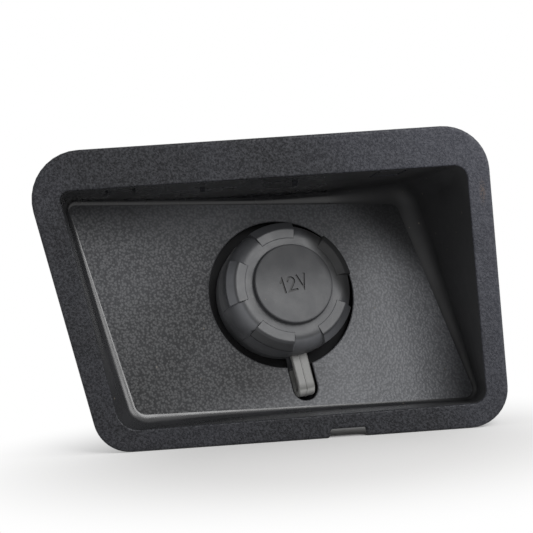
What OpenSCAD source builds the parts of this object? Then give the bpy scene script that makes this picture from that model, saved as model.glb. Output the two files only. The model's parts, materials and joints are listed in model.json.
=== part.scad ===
// Car 12 V power socket in a recessed trim panel, with a rubber cap on a strap.
// The origin is where the socket's axis crosses the front of the pocket floor.
// +X is right, +Y is into the car's trim and +Z is up. All sizes are in millimetres.

/* [Flange] */
// Width of the flange along its top edge
flange_w = 120; // [112:1:130]
// Height of the flange
flange_h = 78; // [74:1:86]
// Thickness of the flange
flange_t = 2.5; // [2:0.1:3.2]
// Lean of the flange's left edge, in degrees
left_lean = 11.9; // [9:0.1:13]
// Lean of the flange's right edge, in degrees
right_lean = 1.4; // [0:0.1:4]
// Radius of the flange's top left corner
corner_top_left = 12.5; // [8:0.5:16]
// Radius of the flange's top right corner
corner_top_right = 12; // [8:0.5:16]
// Radius of the flange's bottom right corner
corner_bottom_right = 10; // [6:0.5:14]
// Radius of the flange's bottom left corner
corner_bottom_left = 9.5; // [6:0.5:14]
// Size of the bevel round the flange's front edge
flange_bevel = 0.7; // [0.3:0.1:1]
// Width of the raised rim on the flange's back that meets the trim
rim_w = 1; // [0.8:0.1:1.4]
// Height of the raised rim
rim_h = 0.4; // [0.2:0.1:0.8]
// Socket axis to the flange's top edge
axis_from_top = 41.4; // [39:0.2:44]
// Socket axis to the flange's top right corner
axis_from_right = 53.2; // [51:0.2:60]
// Width of the notch in the flange's bottom edge
notch_w = 9; // [6:0.5:12]
// Depth of the notch
notch_depth = 2.2; // [1.5:0.1:3]
// Middle of the notch, to the right of the socket axis
notch_x = 13; // [5:0.5:20]

/* [Pocket] */
// Flange border above the pocket
border_top = 10.2; // [8:0.2:13]
// Flange border left of the pocket, at its top
border_left_top = 7.5; // [6:0.1:10]
// Flange border left of the pocket, at its bottom
border_left_bottom = 6.2; // [5:0.1:9]
// Flange border right of the pocket
border_right = 5.8; // [5:0.1:8]
// Flange border below the pocket, at its left
border_bottom_left = 5.8; // [5:0.1:8]
// Flange border below the pocket, at its right
border_bottom_right = 6.9; // [5:0.1:8]
// Depth of the pocket floor behind the flange's back, on the socket axis
floor_depth = 21.8; // [20:0.2:26]
// Turn of the pocket floor to the right, in degrees
floor_turn = 14; // [12:0.5:16]
// Pitch of the pocket floor upward, in degrees
floor_pitch = 16; // [14:0.5:18]
// Floor's top left corner, left of the socket axis
floor_left_top = 54.8; // [50:0.2:57]
// Floor's bottom left corner, left of the socket axis
floor_left_bottom = 44.2; // [40:0.2:46]
// Floor's top right corner, right of the socket axis
floor_right_top = 35.9; // [32:0.2:40]
// Floor's bottom right corner, right of the socket axis
floor_right_bottom = 49.3; // [46:0.1:49.6]
// Floor's top left corner, above the socket axis
floor_up_left = 27.8; // [25:0.2:30]
// Floor's top right corner, above the socket axis
floor_up_right = 21.2; // [19:0.2:24]
// Floor's bottom left corner, below the socket axis
floor_down_left = 28.6; // [26:0.2:30]
// Floor's bottom right corner, below the socket axis
floor_down_right = 32.9; // [30:0.1:33.2]
// Radius of the opening's top left corner
opening_top_left = 2.3; // [1.5:0.1:5]
// Radius of the opening's top right corner
opening_top_right = 3.4; // [1.5:0.1:5]
// Radius of the opening's bottom right corner
opening_bottom_right = 3.2; // [1.5:0.1:5]
// Radius of the opening's bottom left corner
opening_bottom_left = 6; // [3:0.1:7]
// Fillet round the floor at its top left
fillet_top_left = 1.2; // [1:0.1:3]
// Fillet round the floor at its top right
fillet_top_right = 2.6; // [1:0.1:3]
// Fillet round the floor at its bottom right
fillet_bottom_right = 1; // [0.8:0.1:1.2]
// Fillet round the floor at its bottom left
fillet_bottom_left = 3.8; // [2:0.1:4]
// Thickness of the pocket's walls and floor
wall = 2.2; // [1.8:0.1:2.6]
// Width of the two snap tongues in the top wall
tongue_w = 7; // [5:0.5:9]
// Length of the snap tongues
tongue_len = 10; // [8:0.5:12]
// Width of the slit round a snap tongue
slit = 0.8; // [0.6:0.1:1.2]
// Left snap tongue's middle, left of the socket axis
tongue_left = 41.2; // [38:0.2:44]
// Right snap tongue's middle, right of the socket axis
tongue_right = 29; // [26:0.2:32]
// Skew of the right snap tongue along the pocket's right wall, in degrees
tongue_skew = 11; // [0:1:14]
// Left hook's middle, left of the socket axis
hook_left = 24; // [20:1:28]
// Right hook's middle, right of the socket axis
hook_right = 28; // [24:1:32]
// Left gusset, left of the socket axis
gusset_left = 20; // [14:1:26]
// Right gusset, right of the socket axis
gusset_right = 4; // [0:1:10]
// Width of the two hooks under the bottom wall
hook_w = 9; // [6:0.5:12]
// Thickness of the trim sheet that the hooks and tongues hold
sheet_t = 2.2; // [1.6:0.1:3]

/* [Socket] */
// Radius of the barrel's bore, for a plug of the common size
bore_r = 10.73; // [10.7:0.01:10.78]
// Wall of the metal barrel
barrel_wall = 0.6; // [0.5:0.05:0.8]
// Depth of the bore from its mouth to the barrel's bottom
bore_depth = 39.4; // [37:0.2:44]
// Length of the narrower bottom part of the barrel, round the contact
neck_len = 6; // [5.6:0.1:7]
// Mouth of the barrel in front of the pocket floor
mouth_reach = 6.4; // [5:0.1:8]
// Radius of the housing's collar
collar_r = 14.5; // [14.2:0.1:14.8]
// Wall of the housing round the barrel
housing_wall = 1.97; // [1.6:0.01:2.5]
// Thickness of the housing's mounting flange
ear_t = 3; // [2:0.2:4]
// Rim of the housing's flange past the keyhole and the slot, which it closes from behind
shade = 3; // [2.6:0.1:3.4]
// Length of the ribs along the housing's tube
rib_len = 10; // [6:0.5:12]
// Distance of the three screws from the socket axis
screw_circle_r = 24; // [23.5:0.1:26]
// Radius of the screws' shanks
screw_r = 1.4; // [1.2:0.05:1.6]
// Length of the screws under the head
screw_len = 7.2; // [6.8:0.1:7.4]
// Free length between the pocket floor's back and the housing's flange
standoff = 4.1; // [3.8:0.1:5]

/* [Terminals] */
// Width of the terminal blades
blade_w = 6.3; // [4.8:0.1:6.8]
// Thickness of the terminal blades
blade_t = 0.8; // [0.6:0.05:1]
// Length of the blades behind the connector's plate
blade_len = 11; // [8:0.5:14]
// Radius of the contact rivet's shank
rivet_r = 1.5; // [1.2:0.05:1.7]
// Outer radius of the centre contact's foot
contact_r = 4.9; // [4.5:0.1:5.2]
// Outer radius of the spring washer
spring_r = 5.6; // [5.2:0.1:6]
// Outer radius of the washer under the rivet's tail
washer_r = 3.2; // [2.9:0.1:3.6]
// Thickness of the two insulators
insulator_t = 1.4; // [1:0.1:1.8]
// Outer width of the connector's shroud
shroud_w = 15; // [13.6:0.2:18]
// Outer height of the connector's shroud
shroud_h = 19; // [18:0.2:20]
// Length of the connector's shroud
shroud_len = 14; // [11:0.5:18]
// Wall of the connector's shroud
shroud_wall = 1.6; // [1.2:0.1:2]

/* [Cap and strap] */
// Outer radius of the cap
cap_r = 17; // [16.8:0.1:17.4]
// Height of the cap's face above the pocket floor
cap_face = 10.2; // [9.8:0.1:11]
// Depth of the cap's lower edge behind the pocket floor's front
cap_edge = 1.5; // [1.2:0.1:1.8]
// Radius of the raised disc on the cap
disc_r = 10.1; // [9:0.1:11]
// Height of the raised disc
disc_step = 2; // [1.2:0.1:2.2]
// Number of grip lugs round the cap
lug_count = 5; // [4:1:6]
// Arc that one grip lug covers, in degrees
lug_arc = 42; // [30:1:48]
// Direction of the first grip lug, in degrees
lug_start = 28; // [0:1:72]
// Direction of the strap from the socket axis, in degrees
strap_angle = 276; // [270:0.5:284]
// Width of the strap
strap_w = 4.5; // [3.5:0.1:5.5]
// Thickness of the strap
strap_t = 1.6; // [1.2:0.1:1.8]
// Reach of the strap's bend from the socket axis
strap_reach = 27; // [26:0.1:28]
// Hole in the floor round the cap, as a radius
keyhole_r = 19; // [18.6:0.1:20]
// Free space round the strap in its slot
slot_gap = 1.2; // [0.8:0.1:1.4]

/* [Hidden] */
round_fn = 96;
small_fn = 48;
blend_fn = 28;
corner_steps = 10;

// Small working clearances
slide_gap = 0.1;
running_gap = 0.3;
cut = 1;

// Flange outline, seen from the front, as x and z from the socket axis
flange_top = axis_from_top;
flange_bottom = axis_from_top - flange_h;
flange_right = axis_from_right;
flange_left = axis_from_right - flange_w;
function left_at(z) = flange_left + (flange_top - z) * tan(left_lean);
function right_at(z) = flange_right + (flange_top - z) * tan(right_lean);
flange_corners = [[left_at(flange_top), flange_top], [right_at(flange_top), flange_top],
                  [right_at(flange_bottom), flange_bottom], [left_at(flange_bottom), flange_bottom]];
flange_radii = [corner_top_left, corner_top_right, corner_bottom_right, corner_bottom_left];

// Opening of the pocket in the flange
opening_top = flange_top - border_top;
opening_low_left = flange_bottom + border_bottom_left;
opening_low_right = flange_bottom + border_bottom_right;
opening_corners = [[left_at(opening_top) + border_left_top, opening_top],
                   [right_at(opening_top) - border_right, opening_top],
                   [right_at(opening_low_right) - border_right, opening_low_right],
                   [left_at(opening_low_left) + border_left_bottom, opening_low_left]];
opening_radii = [opening_top_left, opening_top_right, opening_bottom_right, opening_bottom_left];

// Corners of the flat pocket floor in its own plane, and the fillets round it
floor_corners = [[-floor_left_top, floor_up_left], [floor_right_top, floor_up_right],
                 [floor_right_bottom, -floor_down_right], [-floor_left_bottom, -floor_down_left]];
floor_radii = [fillet_top_left, fillet_top_right, fillet_bottom_right, fillet_bottom_left];

// Depths of the flange's seat and front, from the socket axis point on the floor
seat_y = -floor_depth;
front_y = seat_y - flange_t;

// Levels along the socket axis, positive towards the viewer
floor_back = -wall;
ear_front = floor_back - standoff;
ear_back = ear_front - ear_t;
bore_end = mouth_reach - bore_depth;
barrel_end = bore_end - barrel_wall;
rim_t = 0.7;
rim_r = bore_r + barrel_wall + 1.1;
collar_face = mouth_reach + slide_gap;
barrel_r = bore_r + barrel_wall;
housing_r = barrel_r + slide_gap + housing_wall;
neck_r = bore_r - 0.5;
neck_top = bore_end + neck_len;
rear_insulator_end = barrel_end - insulator_t;
positive_end = rear_insulator_end - blade_t;
washer_end = positive_end - 0.5;
rivet_tail = washer_end - 0.8;
housing_end = rivet_tail - 0.4;
plate_t = 2.4;
plate_end = housing_end - plate_t;
blade_end = plate_end - blade_len;
spigot_hole_r = 5;
insulator_front = bore_end + insulator_t;
spring_top = insulator_front + 0.6;
contact_foot_t = 0.5;
contact_top = spring_top + 2.1;
rivet_hole_r = rivet_r + slide_gap;
rivet_head_r = rivet_r + 1.2;
rivet_tail_r = washer_r - 0.6;

// Screw bosses on the back of the floor, 120 degrees apart
ear_angles = [90, 210, 330];
boss_r = 3.5;
pilot_end = floor_back + 0.5;

// Cap levels
lower_edge = -cap_edge;
annulus = cap_face - disc_step;
lug_face = annulus + 0.1;
ceiling = collar_face + running_gap + 0.1;
cap_bore_r = collar_r + 0.7;
shoulder_top_r = 13.2;
shoulder_foot = 2.2;
body_r = cap_r - 0.15;
disc_round = 0.4;

// Strap levels and the hinge line at its root
hinge_r = cap_r + 1.3;
hinge_s = lower_edge + strap_t - slide_gap;
strap_drop = 5.6;
ring_top = lower_edge - 0.4;
slot_half = strap_w / 2 + slot_gap;
slot_end = strap_reach + 1.1;

// Blade places across the connector
positive_y = 4.6;
negative_y = -4.6;
earth_y = -6.9;
earth_head_r = 2.3;
earth_shank_r = 1.35;
earth_tail_r = 1.8;
earth_tail_t = 0.8;
earth_head_t = 0.9;
earth_foot = 2.1;

// Lances on the barrel and the windows for them in the housing
lance_w = 4.4;
lance_t = 0.6;
lance_reach = 1.2;
lance_level = ear_back - 9;
window_w = lance_w + 0.8;
window_len = 8;
window_foot = ear_back - 16;

// Cut through the floor for the keyhole, past the fillets round the floor
key_start = floor_back - cut;
key_h = wall + fillet_bottom_left + 2 * cut;

// Arc points of one rounded corner between its neighbours
function unit(v) = v / norm(v);
function corner_arc(before, at, after, r, steps) =
    let (u = unit(before - at), v = unit(after - at),
         half = acos(u * v) / 2,
         centre = at + unit(u + v) * r / sin(half),
         start = at + u * r / tan(half) - centre,
         turn = cross(u, v) < 0 ? 180 - 2 * half : 2 * half - 180)
    [for (i = [0:steps]) let (a = turn * i / steps)
        centre + [start[0] * cos(a) - start[1] * sin(a), start[0] * sin(a) + start[1] * cos(a)]];
function rounded(corners, radii, steps = corner_steps) =
    let (n = len(corners))
    [for (i = [0:n - 1])
        each corner_arc(corners[(i + n - 1) % n], corners[i], corners[(i + 1) % n], radii[i], steps)];

// Corners of an outline moved outward by a distance, with its edges kept parallel
function moved(corners, d) =
    let (n = len(corners))
    [for (i = [0:n - 1])
        let (u = unit(corners[(i + n - 1) % n] - corners[i]), v = unit(corners[(i + 1) % n] - corners[i]),
             half = acos(u * v) / 2)
        corners[i] - unit(u + v) * d / sin(half)];
function raised(radii, d) = [for (r = radii) r + d];

// A sheet with a front outline, from the depth y0 to the depth y1
module slab(points, y0, y1) {
    translate([0, y1, 0]) rotate([90, 0, 0]) linear_extrude(y1 - y0) polygon(points);
}

// The socket's own frame: +Z is its axis towards the viewer and +Y is up the floor
module on_socket() {
    rotate([90 - floor_pitch, 0, floor_turn]) children();
}

// A point of the socket's frame in the part's frame
function from_socket(p) =
    let (a = 90 - floor_pitch,
         q = [p[0], p[1] * cos(a) - p[2] * sin(a), p[1] * sin(a) + p[2] * cos(a)])
    [q[0] * cos(floor_turn) - q[1] * sin(floor_turn), q[0] * sin(floor_turn) + q[1] * cos(floor_turn), q[2]];

module tube(r_out, r_in, s0, s1) {
    translate([0, 0, s0]) difference() {
        cylinder(h = s1 - s0, r = r_out, $fn = round_fn);
        translate([0, 0, -cut]) cylinder(h = s1 - s0 + 2 * cut, r = r_in, $fn = round_fn);
    }
}

module disc(r, s0, s1, fn = small_fn) {
    translate([0, 0, s0]) cylinder(h = s1 - s0, r = r, $fn = fn);
}

// Solid of the pocket grown by a distance: 0 is the air in it, wall is its outside
module pocket(grow) {
    start = grow > 0 ? seat_y - flange_t / 2 : front_y - cut;
    stop = grow > 0 ? start + 0.2 : front_y;
    hull() {
        slab(rounded(moved(opening_corners, grow), raised(opening_radii, grow), 6), start, stop);
        for (i = [0:3])
            translate(from_socket([floor_corners[i][0], floor_corners[i][1], floor_radii[i]]))
                rotate([90 - floor_pitch, 0, floor_turn])
                    sphere(r = floor_radii[i] + grow, $fn = blend_fn);
    }
}

// Outside of the pocket: it stays behind the flange's middle and clear of the rim on the flange's back
module pocket_shell() {
    inset = rim_w + slide_gap;
    intersection() {
        pocket(wall);
        slab(rounded(moved(flange_corners, -inset), raised(flange_radii, -inset)),
             seat_y - flange_t / 2, floor_depth + 2 * wall);
    }
}

// Flange plate with a bevelled front edge, and a raised rim round its back
module flange_plate() {
    difference() {
        slab(rounded(flange_corners, flange_radii), front_y + flange_bevel, seat_y);
        slab(rounded(moved(flange_corners, -rim_w), raised(flange_radii, -rim_w)), seat_y - rim_h, seat_y + cut);
    }
    hull() {
        slab(rounded(flange_corners, flange_radii), front_y + flange_bevel, front_y + flange_bevel + 0.2);
        slab(rounded(moved(flange_corners, -flange_bevel), raised(flange_radii, -flange_bevel)),
             front_y, front_y + 0.1);
    }
}

// Notch in the bottom edge, a little wider at its mouth
module notch() {
    half = notch_w / 2;
    slab([[notch_x - half, flange_bottom + notch_depth], [notch_x + half, flange_bottom + notch_depth],
          [notch_x + half + 0.4, flange_bottom - cut], [notch_x - half - 0.2, flange_bottom - cut]],
         front_y - cut, seat_y + cut);
}

// Slits that free one snap tongue on three sides; skew turns it along the pocket's side wall
module tongue_slits(x, skew) {
    slit_z = opening_top - tongue_len * 0.6;
    translate([x, seat_y + 0.2, slit_z]) multmatrix([[1, tan(skew), 0, 0], [0, 1, 0, 0], [0, 0, 1, 0]]) {
        translate([-tongue_w / 2, 0, 0]) cube([tongue_w, slit, border_top + 4]);
        for (side = [-1, 1])
            translate([side * tongue_w / 2 - slit / 2, 0, 0]) cube([slit, tongue_len, border_top + 4]);
    }
}

// Catch on the outside of a snap tongue, with a ramp at its rear
module tongue_catch(x, skew) {
    back = seat_y + sheet_t + 0.4;
    top = opening_top + wall + 1.3;
    half = tongue_w / 2 - slit;
    translate([x, 0, 0]) multmatrix([[1, tan(skew), 0, -tan(skew) * seat_y], [0, 1, 0, 0], [0, 0, 1, 0]])
        translate([-half, 0, 0]) rotate([90, 0, 90]) linear_extrude(2 * half)
            polygon([[back, opening_top], [back, top], [back + 1, top],
                     [back + tongue_len * 0.6, opening_top - 1], [back + tongue_len * 0.6, opening_top - 2]]);
}

// Fixed hook under the bottom wall, which goes behind the trim sheet
module bottom_hook(x) {
    low = min(opening_low_left, opening_low_right);
    foot = low - wall - 1.8;
    translate([x - hook_w / 2, 0, 0]) rotate([90, 0, 90]) linear_extrude(hook_w)
        polygon([[seat_y - 0.5, low + 1], [seat_y - 0.5, low - wall - 0.2],
                 [seat_y + sheet_t, low - wall - 0.2], [seat_y + sheet_t, foot],
                 [seat_y + sheet_t + 1.6, foot], [seat_y + sheet_t + 6, low + 1]]);
}

// Thin gusset between the flange's back and a pocket wall
module gusset(x, z0, z1) {
    translate([x - 0.7, 0, 0]) rotate([90, 0, 90]) linear_extrude(1.4)
        polygon([[seat_y - 0.5, z0], [seat_y - 0.5, z1], [seat_y + 8, z0]]);
}

// Boss for one housing screw on the back of the floor
module screw_boss(a) {
    rotate([0, 0, a]) translate([screw_circle_r, 0, ear_front])
        cylinder(h = standoff + wall / 2, r = boss_r, $fn = small_fn);
}

// Hole and strap slot in the floor
module keyhole() {
    translate([0, 0, key_start]) cylinder(h = key_h, r = keyhole_r, $fn = round_fn);
    rotate([0, 0, strap_angle]) {
        translate([slot_end - slot_half, 0, key_start]) cylinder(h = key_h, r = slot_half, $fn = small_fn);
        translate([0, -slot_half, key_start]) cube([slot_end - slot_half, 2 * slot_half, key_h]);
    }
}

module trim_panel() {
    color("#3a3a3e") difference() {
        union() {
            flange_plate();
            pocket_shell();
            tongue_catch(-tongue_left, 0);
            tongue_catch(tongue_right, -tongue_skew);
            for (x = [-hook_left, hook_right]) bottom_hook(x);
            for (x = [-gusset_left, gusset_right]) gusset(x, opening_top - 2, flange_top - rim_w - 1);
            on_socket() for (a = ear_angles) screw_boss(a);
        }
        pocket(0);
        notch();
        tongue_slits(-tongue_left, 0);
        tongue_slits(tongue_right, -tongue_skew);
        on_socket() {
            keyhole();
            for (a = ear_angles)
                rotate([0, 0, a]) translate([screw_circle_r, 0, ear_front - cut])
                    cylinder(h = pilot_end - ear_front + cut, r = screw_r + slide_gap / 2, $fn = small_fn);
        }
    }
}

// Points of the cap's rounded shoulder, from its foot to its top
function shoulder(steps) = [for (i = [0:steps]) let (a = 90 * i / steps)
    [shoulder_top_r + (body_r - shoulder_top_r) * cos(a), shoulder_foot + (annulus - shoulder_foot) * sin(a)]];

// Inner outline shared by the cap's body and its lugs, from the lower edge to the axis
cap_inside = [[0, ceiling + 1.3], [disc_r - 1.5, ceiling + 1.3], [disc_r - 1.5, ceiling],
              [cap_bore_r - 1, ceiling], [cap_bore_r, ceiling - 2.4], [cap_bore_r, lower_edge]];

module cap_body() {
    rotate_extrude($fn = round_fn)
        polygon(concat(cap_inside, [[body_r, lower_edge]], shoulder(8),
                       [[disc_r + 0.9, annulus], [disc_r, annulus + 0.5], [disc_r, cap_face - disc_round],
                        [disc_r - disc_round, cap_face], [0, cap_face]]));
}

// One grip lug: flat on top, a chamfer, then the cap's full radius
module cap_lug() {
    chamfer_r = cap_r - 2.2;
    rotate([0, 0, -lug_arc / 2]) rotate_extrude(angle = lug_arc, $fn = round_fn)
        polygon([[shoulder_top_r - 0.4, annulus - 0.5], [shoulder_top_r - 0.4, lug_face], [chamfer_r, lug_face],
                 [cap_r, lug_face - 2.2], [cap_r, lower_edge], [cap_bore_r + 0.5, lower_edge],
                 [cap_bore_r + 0.5, ceiling - 2.3], [cap_bore_r - 0.7, ceiling + 0.4]]);
}

// Root of the strap on the cap, up to the hinge line
module cap_tab() {
    rotate([0, 0, strap_angle]) translate([cap_bore_r + 0.4, -strap_w / 2, lower_edge])
        cube([hinge_r - 0.2 - cap_bore_r - 0.4, strap_w, hinge_s - lower_edge]);
}

module cap() {
    color("#4a4c4f") on_socket() {
        cap_body();
        for (i = [0:lug_count - 1]) rotate([0, 0, lug_start + i * 360 / lug_count]) cap_lug();
        cap_tab();
    }
}

// Anchor ring under the cap, with the strap's lower leg, bend and upper leg
module cap_strap() {
    bend_r = strap_drop / 2;
    bend_x = strap_reach - bend_r;
    color("#4a4c4f") on_socket() {
        tube(cap_r - 0.1, collar_r + slide_gap, ear_front, ring_top);
        rotate([0, 0, strap_angle]) translate([0, strap_w / 2, hinge_s]) rotate([90, 0, 0])
            linear_extrude(strap_w) {
                translate([hinge_r + 0.2, -strap_t]) square([bend_x - hinge_r - 0.2, strap_t]);
                translate([cap_r - 1.2, -strap_drop]) square([bend_x - cap_r + 1.2, strap_t]);
                difference() {
                    translate([bend_x, -bend_r]) circle(r = bend_r, $fn = small_fn);
                    translate([bend_x, -bend_r]) circle(r = bend_r - strap_t, $fn = small_fn);
                    translate([bend_x - 2 * bend_r, -2 * bend_r]) square([2 * bend_r, 2 * bend_r]);
                }
            }
    }
}

// Housing's flange: a disc behind the keyhole, three ears, and a lobe behind the strap's slot
module housing_flange() {
    translate([0, 0, ear_back]) linear_extrude(ear_t) union() {
        circle(r = keyhole_r + shade, $fn = round_fn);
        for (a = ear_angles) rotate(a) {
            translate([screw_circle_r, 0]) circle(r = boss_r + 1, $fn = small_fn);
            translate([0, -boss_r - 1]) square([screw_circle_r, 2 * boss_r + 2]);
        }
        rotate(strap_angle) {
            lobe_end = slot_end - slot_half - shade / 2;
            translate([lobe_end, 0]) circle(r = slot_half + shade, $fn = small_fn);
            translate([0, -slot_half - shade]) square([lobe_end, 2 * (slot_half + shade)]);
        }
    }
}

// Rib between the housing's tube and the back of its flange
module housing_rib() {
    translate([0, 0.8, 0]) rotate([90, 0, 0]) linear_extrude(1.6)
        polygon([[housing_r - 1, ear_back + 0.5], [keyhole_r, ear_back + 0.5], [keyhole_r, ear_back - 1],
                 [housing_r + 0.5, ear_back - rib_len], [housing_r - 1, ear_back - rib_len]]);
}

// Moulded socket housing: collar, flange and the tube for the barrel
module socket_housing() {
    taper = 0.6;
    color("#2b2b2d") on_socket() difference() {
        union() {
            rotate_extrude($fn = round_fn)
                polygon([[0, ear_front - 1], [collar_r, ear_front - 1], [collar_r, mouth_reach / 2],
                         [collar_r - taper, collar_face], [0, collar_face]]);
            disc(housing_r, housing_end, ear_front, round_fn);
            housing_flange();
            for (a = [45, 135, 225, 315]) rotate([0, 0, a]) housing_rib();
            for (a = [0, 180]) rotate([0, 0, a])
                translate([housing_r - 0.6, -2, housing_end + 3]) cube([1.8, 4, 1.6]);
        }
        disc(barrel_r + slide_gap, housing_end - cut, collar_face + cut, round_fn);
        disc(rim_r + slide_gap, mouth_reach - rim_t, collar_face + cut, round_fn);
        for (a = ear_angles) rotate([0, 0, a]) translate([screw_circle_r, 0, ear_back - cut])
            cylinder(h = ear_t + 2 * cut, r = screw_r + running_gap, $fn = small_fn);
        for (a = [0, 180]) rotate([0, 0, a])
            translate([barrel_r - cut, -window_w / 2, window_foot])
                cube([housing_wall + 3 * cut, window_w, window_len]);
    }
}

// Metal barrel with a flared rim, two locking lances, and a narrower part at its bottom
module barrel() {
    color("silver") on_socket() difference() {
        union() {
            disc(neck_r + barrel_wall, barrel_end, neck_top, round_fn);
            disc(barrel_r, neck_top - barrel_wall, mouth_reach, round_fn);
            disc(rim_r, mouth_reach - rim_t + 0.05, mouth_reach, round_fn);
            for (a = [0, 180]) rotate([0, 0, a])
                translate([barrel_r - 0.3, -lance_w / 2, lance_level]) cube([lance_reach, lance_w, lance_t]);
        }
        disc(bore_r, neck_top, mouth_reach + cut, round_fn);
        disc(neck_r, bore_end, neck_top + cut, round_fn);
        disc(spigot_hole_r, barrel_end - cut, bore_end + cut);
        translate([0, earth_y, barrel_end - cut])
            cylinder(h = barrel_wall + 2 * cut, r = earth_shank_r + slide_gap, $fn = small_fn);
    }
}

// Insulator in the barrel, with a spigot through its bottom
module base_insulator() {
    color("#6b3f24") on_socket() difference() {
        union() {
            disc(neck_r - 2 * slide_gap, bore_end, insulator_front, round_fn);
            disc(spigot_hole_r - slide_gap, barrel_end, bore_end + 0.5);
        }
        disc(rivet_hole_r, barrel_end - cut, insulator_front + cut);
        translate([0, earth_y, bore_end - cut])
            cylinder(h = insulator_t + 2 * cut, r = earth_head_r + 2 * slide_gap, $fn = small_fn);
    }
}

// Dished spring washer under the centre contact
module contact_spring() {
    color("goldenrod") on_socket() rotate_extrude($fn = small_fn)
        polygon([[rivet_hole_r + slide_gap, spring_top - 0.3], [rivet_hole_r + slide_gap, spring_top],
                 [spring_r / 2, spring_top], [spring_r, insulator_front + 0.3],
                 [spring_r, insulator_front], [spring_r - 0.6, insulator_front]]);
}

// Centre contact: a pressed cup that the plug's tip bears on
module centre_contact() {
    color("silver") on_socket() rotate_extrude($fn = small_fn)
        polygon([[rivet_hole_r, contact_top - contact_foot_t], [rivet_hole_r, contact_top],
                 [contact_r - 1.7, contact_top], [contact_r - 1.2, contact_top - 0.4],
                 [contact_r - 0.8, spring_top + contact_foot_t], [contact_r, spring_top + contact_foot_t],
                 [contact_r, spring_top], [contact_r - 1.3, spring_top],
                 [contact_r - 1.7, contact_top - contact_foot_t]]);
}

// Rivet through the contact, the insulators and the positive terminal
module contact_rivet() {
    color("silver") on_socket() {
        disc(rivet_r, rivet_tail, contact_top + 0.4);
        rotate_extrude($fn = small_fn)
            polygon([[0, contact_top], [rivet_head_r, contact_top], [rivet_head_r - 0.1, contact_top + 0.5],
                     [rivet_head_r - 0.9, contact_top + 0.9], [0, contact_top + 1.1]]);
        disc(rivet_tail_r, rivet_tail, washer_end);
    }
}

// Insulator behind the barrel's bottom, cut back beside the negative terminal
module rear_insulator() {
    color("#6b3f24") on_socket() difference() {
        disc(barrel_r - 0.6, rear_insulator_end, barrel_end, round_fn);
        disc(rivet_hole_r, rear_insulator_end - cut, barrel_end + cut);
        translate([-barrel_r, -2 * barrel_r, rear_insulator_end - cut])
            cube([2 * barrel_r, 2 * barrel_r + negative_y + blade_t, insulator_t + 2 * cut]);
    }
}

// A terminal: a foot from y0 to y1 under its rivet, and a blade at one end of the foot
module terminal(y0, y1, blade_y, rivet_y, s_top, hole_r) {
    difference() {
        translate([-blade_w / 2, y0, s_top - blade_t]) cube([blade_w, y1 - y0, blade_t]);
        translate([0, rivet_y, s_top - blade_t - cut]) cylinder(h = blade_t + 2 * cut, r = hole_r, $fn = small_fn);
    }
    translate([-blade_w / 2, blade_y - blade_t / 2, blade_end + 1])
        cube([blade_w, blade_t, s_top - blade_end - 1]);
    translate([0, blade_y + blade_t / 2, 0]) rotate([90, 0, 0]) linear_extrude(blade_t)
        polygon([[-blade_w / 2, blade_end + 1], [blade_w / 2, blade_end + 1],
                 [blade_w / 2 - 1, blade_end], [-blade_w / 2 + 1, blade_end]]);
}

module positive_terminal() {
    color("gold") on_socket()
        terminal(-washer_r - slide_gap, positive_y + blade_t / 2, positive_y, 0, rear_insulator_end, rivet_hole_r);
}

module rivet_washer() {
    color("silver") on_socket() tube(washer_r, rivet_hole_r, washer_end, positive_end);
}

module negative_terminal() {
    color("gold") on_socket()
        terminal(earth_y - earth_foot, negative_y + blade_t / 2, negative_y, earth_y, barrel_end,
                 earth_shank_r + slide_gap);
}

// Rivet that joins the negative terminal to the barrel's bottom
module earth_rivet() {
    color("silver") on_socket() translate([0, earth_y, 0]) {
        disc(earth_shank_r, barrel_end - blade_t - earth_tail_t / 2, bore_end + earth_head_t / 2);
        disc(earth_head_r, bore_end, bore_end + earth_head_t);
        disc(earth_tail_r, barrel_end - blade_t - earth_tail_t, barrel_end - blade_t);
    }
}

// Rear cover with the connector's shroud and two latch arms over the housing's lugs
module connector_housing() {
    arm_w = 7;
    color("#202022") on_socket() difference() {
        union() {
            disc(housing_r, plate_end, housing_end, round_fn);
            tube(barrel_r, barrel_r - 0.9, housing_end - 0.5, housing_end + 1.2);
            translate([-shroud_w / 2, -shroud_h / 2, plate_end - shroud_len])
                cube([shroud_w, shroud_h, shroud_len + 0.5]);
            for (side = [-1, 1])
                translate([side > 0 ? housing_r + 0.15 : -housing_r - 1.75, -arm_w / 2, plate_end])
                    cube([1.6, arm_w, housing_end - plate_end + 6.4]);
            translate([-housing_r - 1.75, -arm_w / 2, plate_end]) cube([2 * housing_r + 3.5, arm_w, plate_t - 0.2]);
        }
        translate([-shroud_w / 2 + shroud_wall, -shroud_h / 2 + shroud_wall, plate_end - shroud_len - cut])
            cube([shroud_w - 2 * shroud_wall, shroud_h - 2 * shroud_wall, shroud_len + cut]);
        for (y = [positive_y, negative_y])
            translate([-blade_w / 2 - 0.2, y - blade_t / 2 - 0.2, plate_end - cut])
                cube([blade_w + 0.4, blade_t + 0.4, plate_t + 2 * cut]);
        for (side = [-1, 1])
            translate([side > 0 ? housing_r : -housing_r - 3, -2.3, housing_end + 2.8]) cube([3, 4.6, 2]);
        translate([-2.5, shroud_h / 2 - shroud_wall - cut, plate_end - shroud_len - cut])
            cube([5, shroud_wall + 2 * cut, 7]);
    }
}

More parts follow.
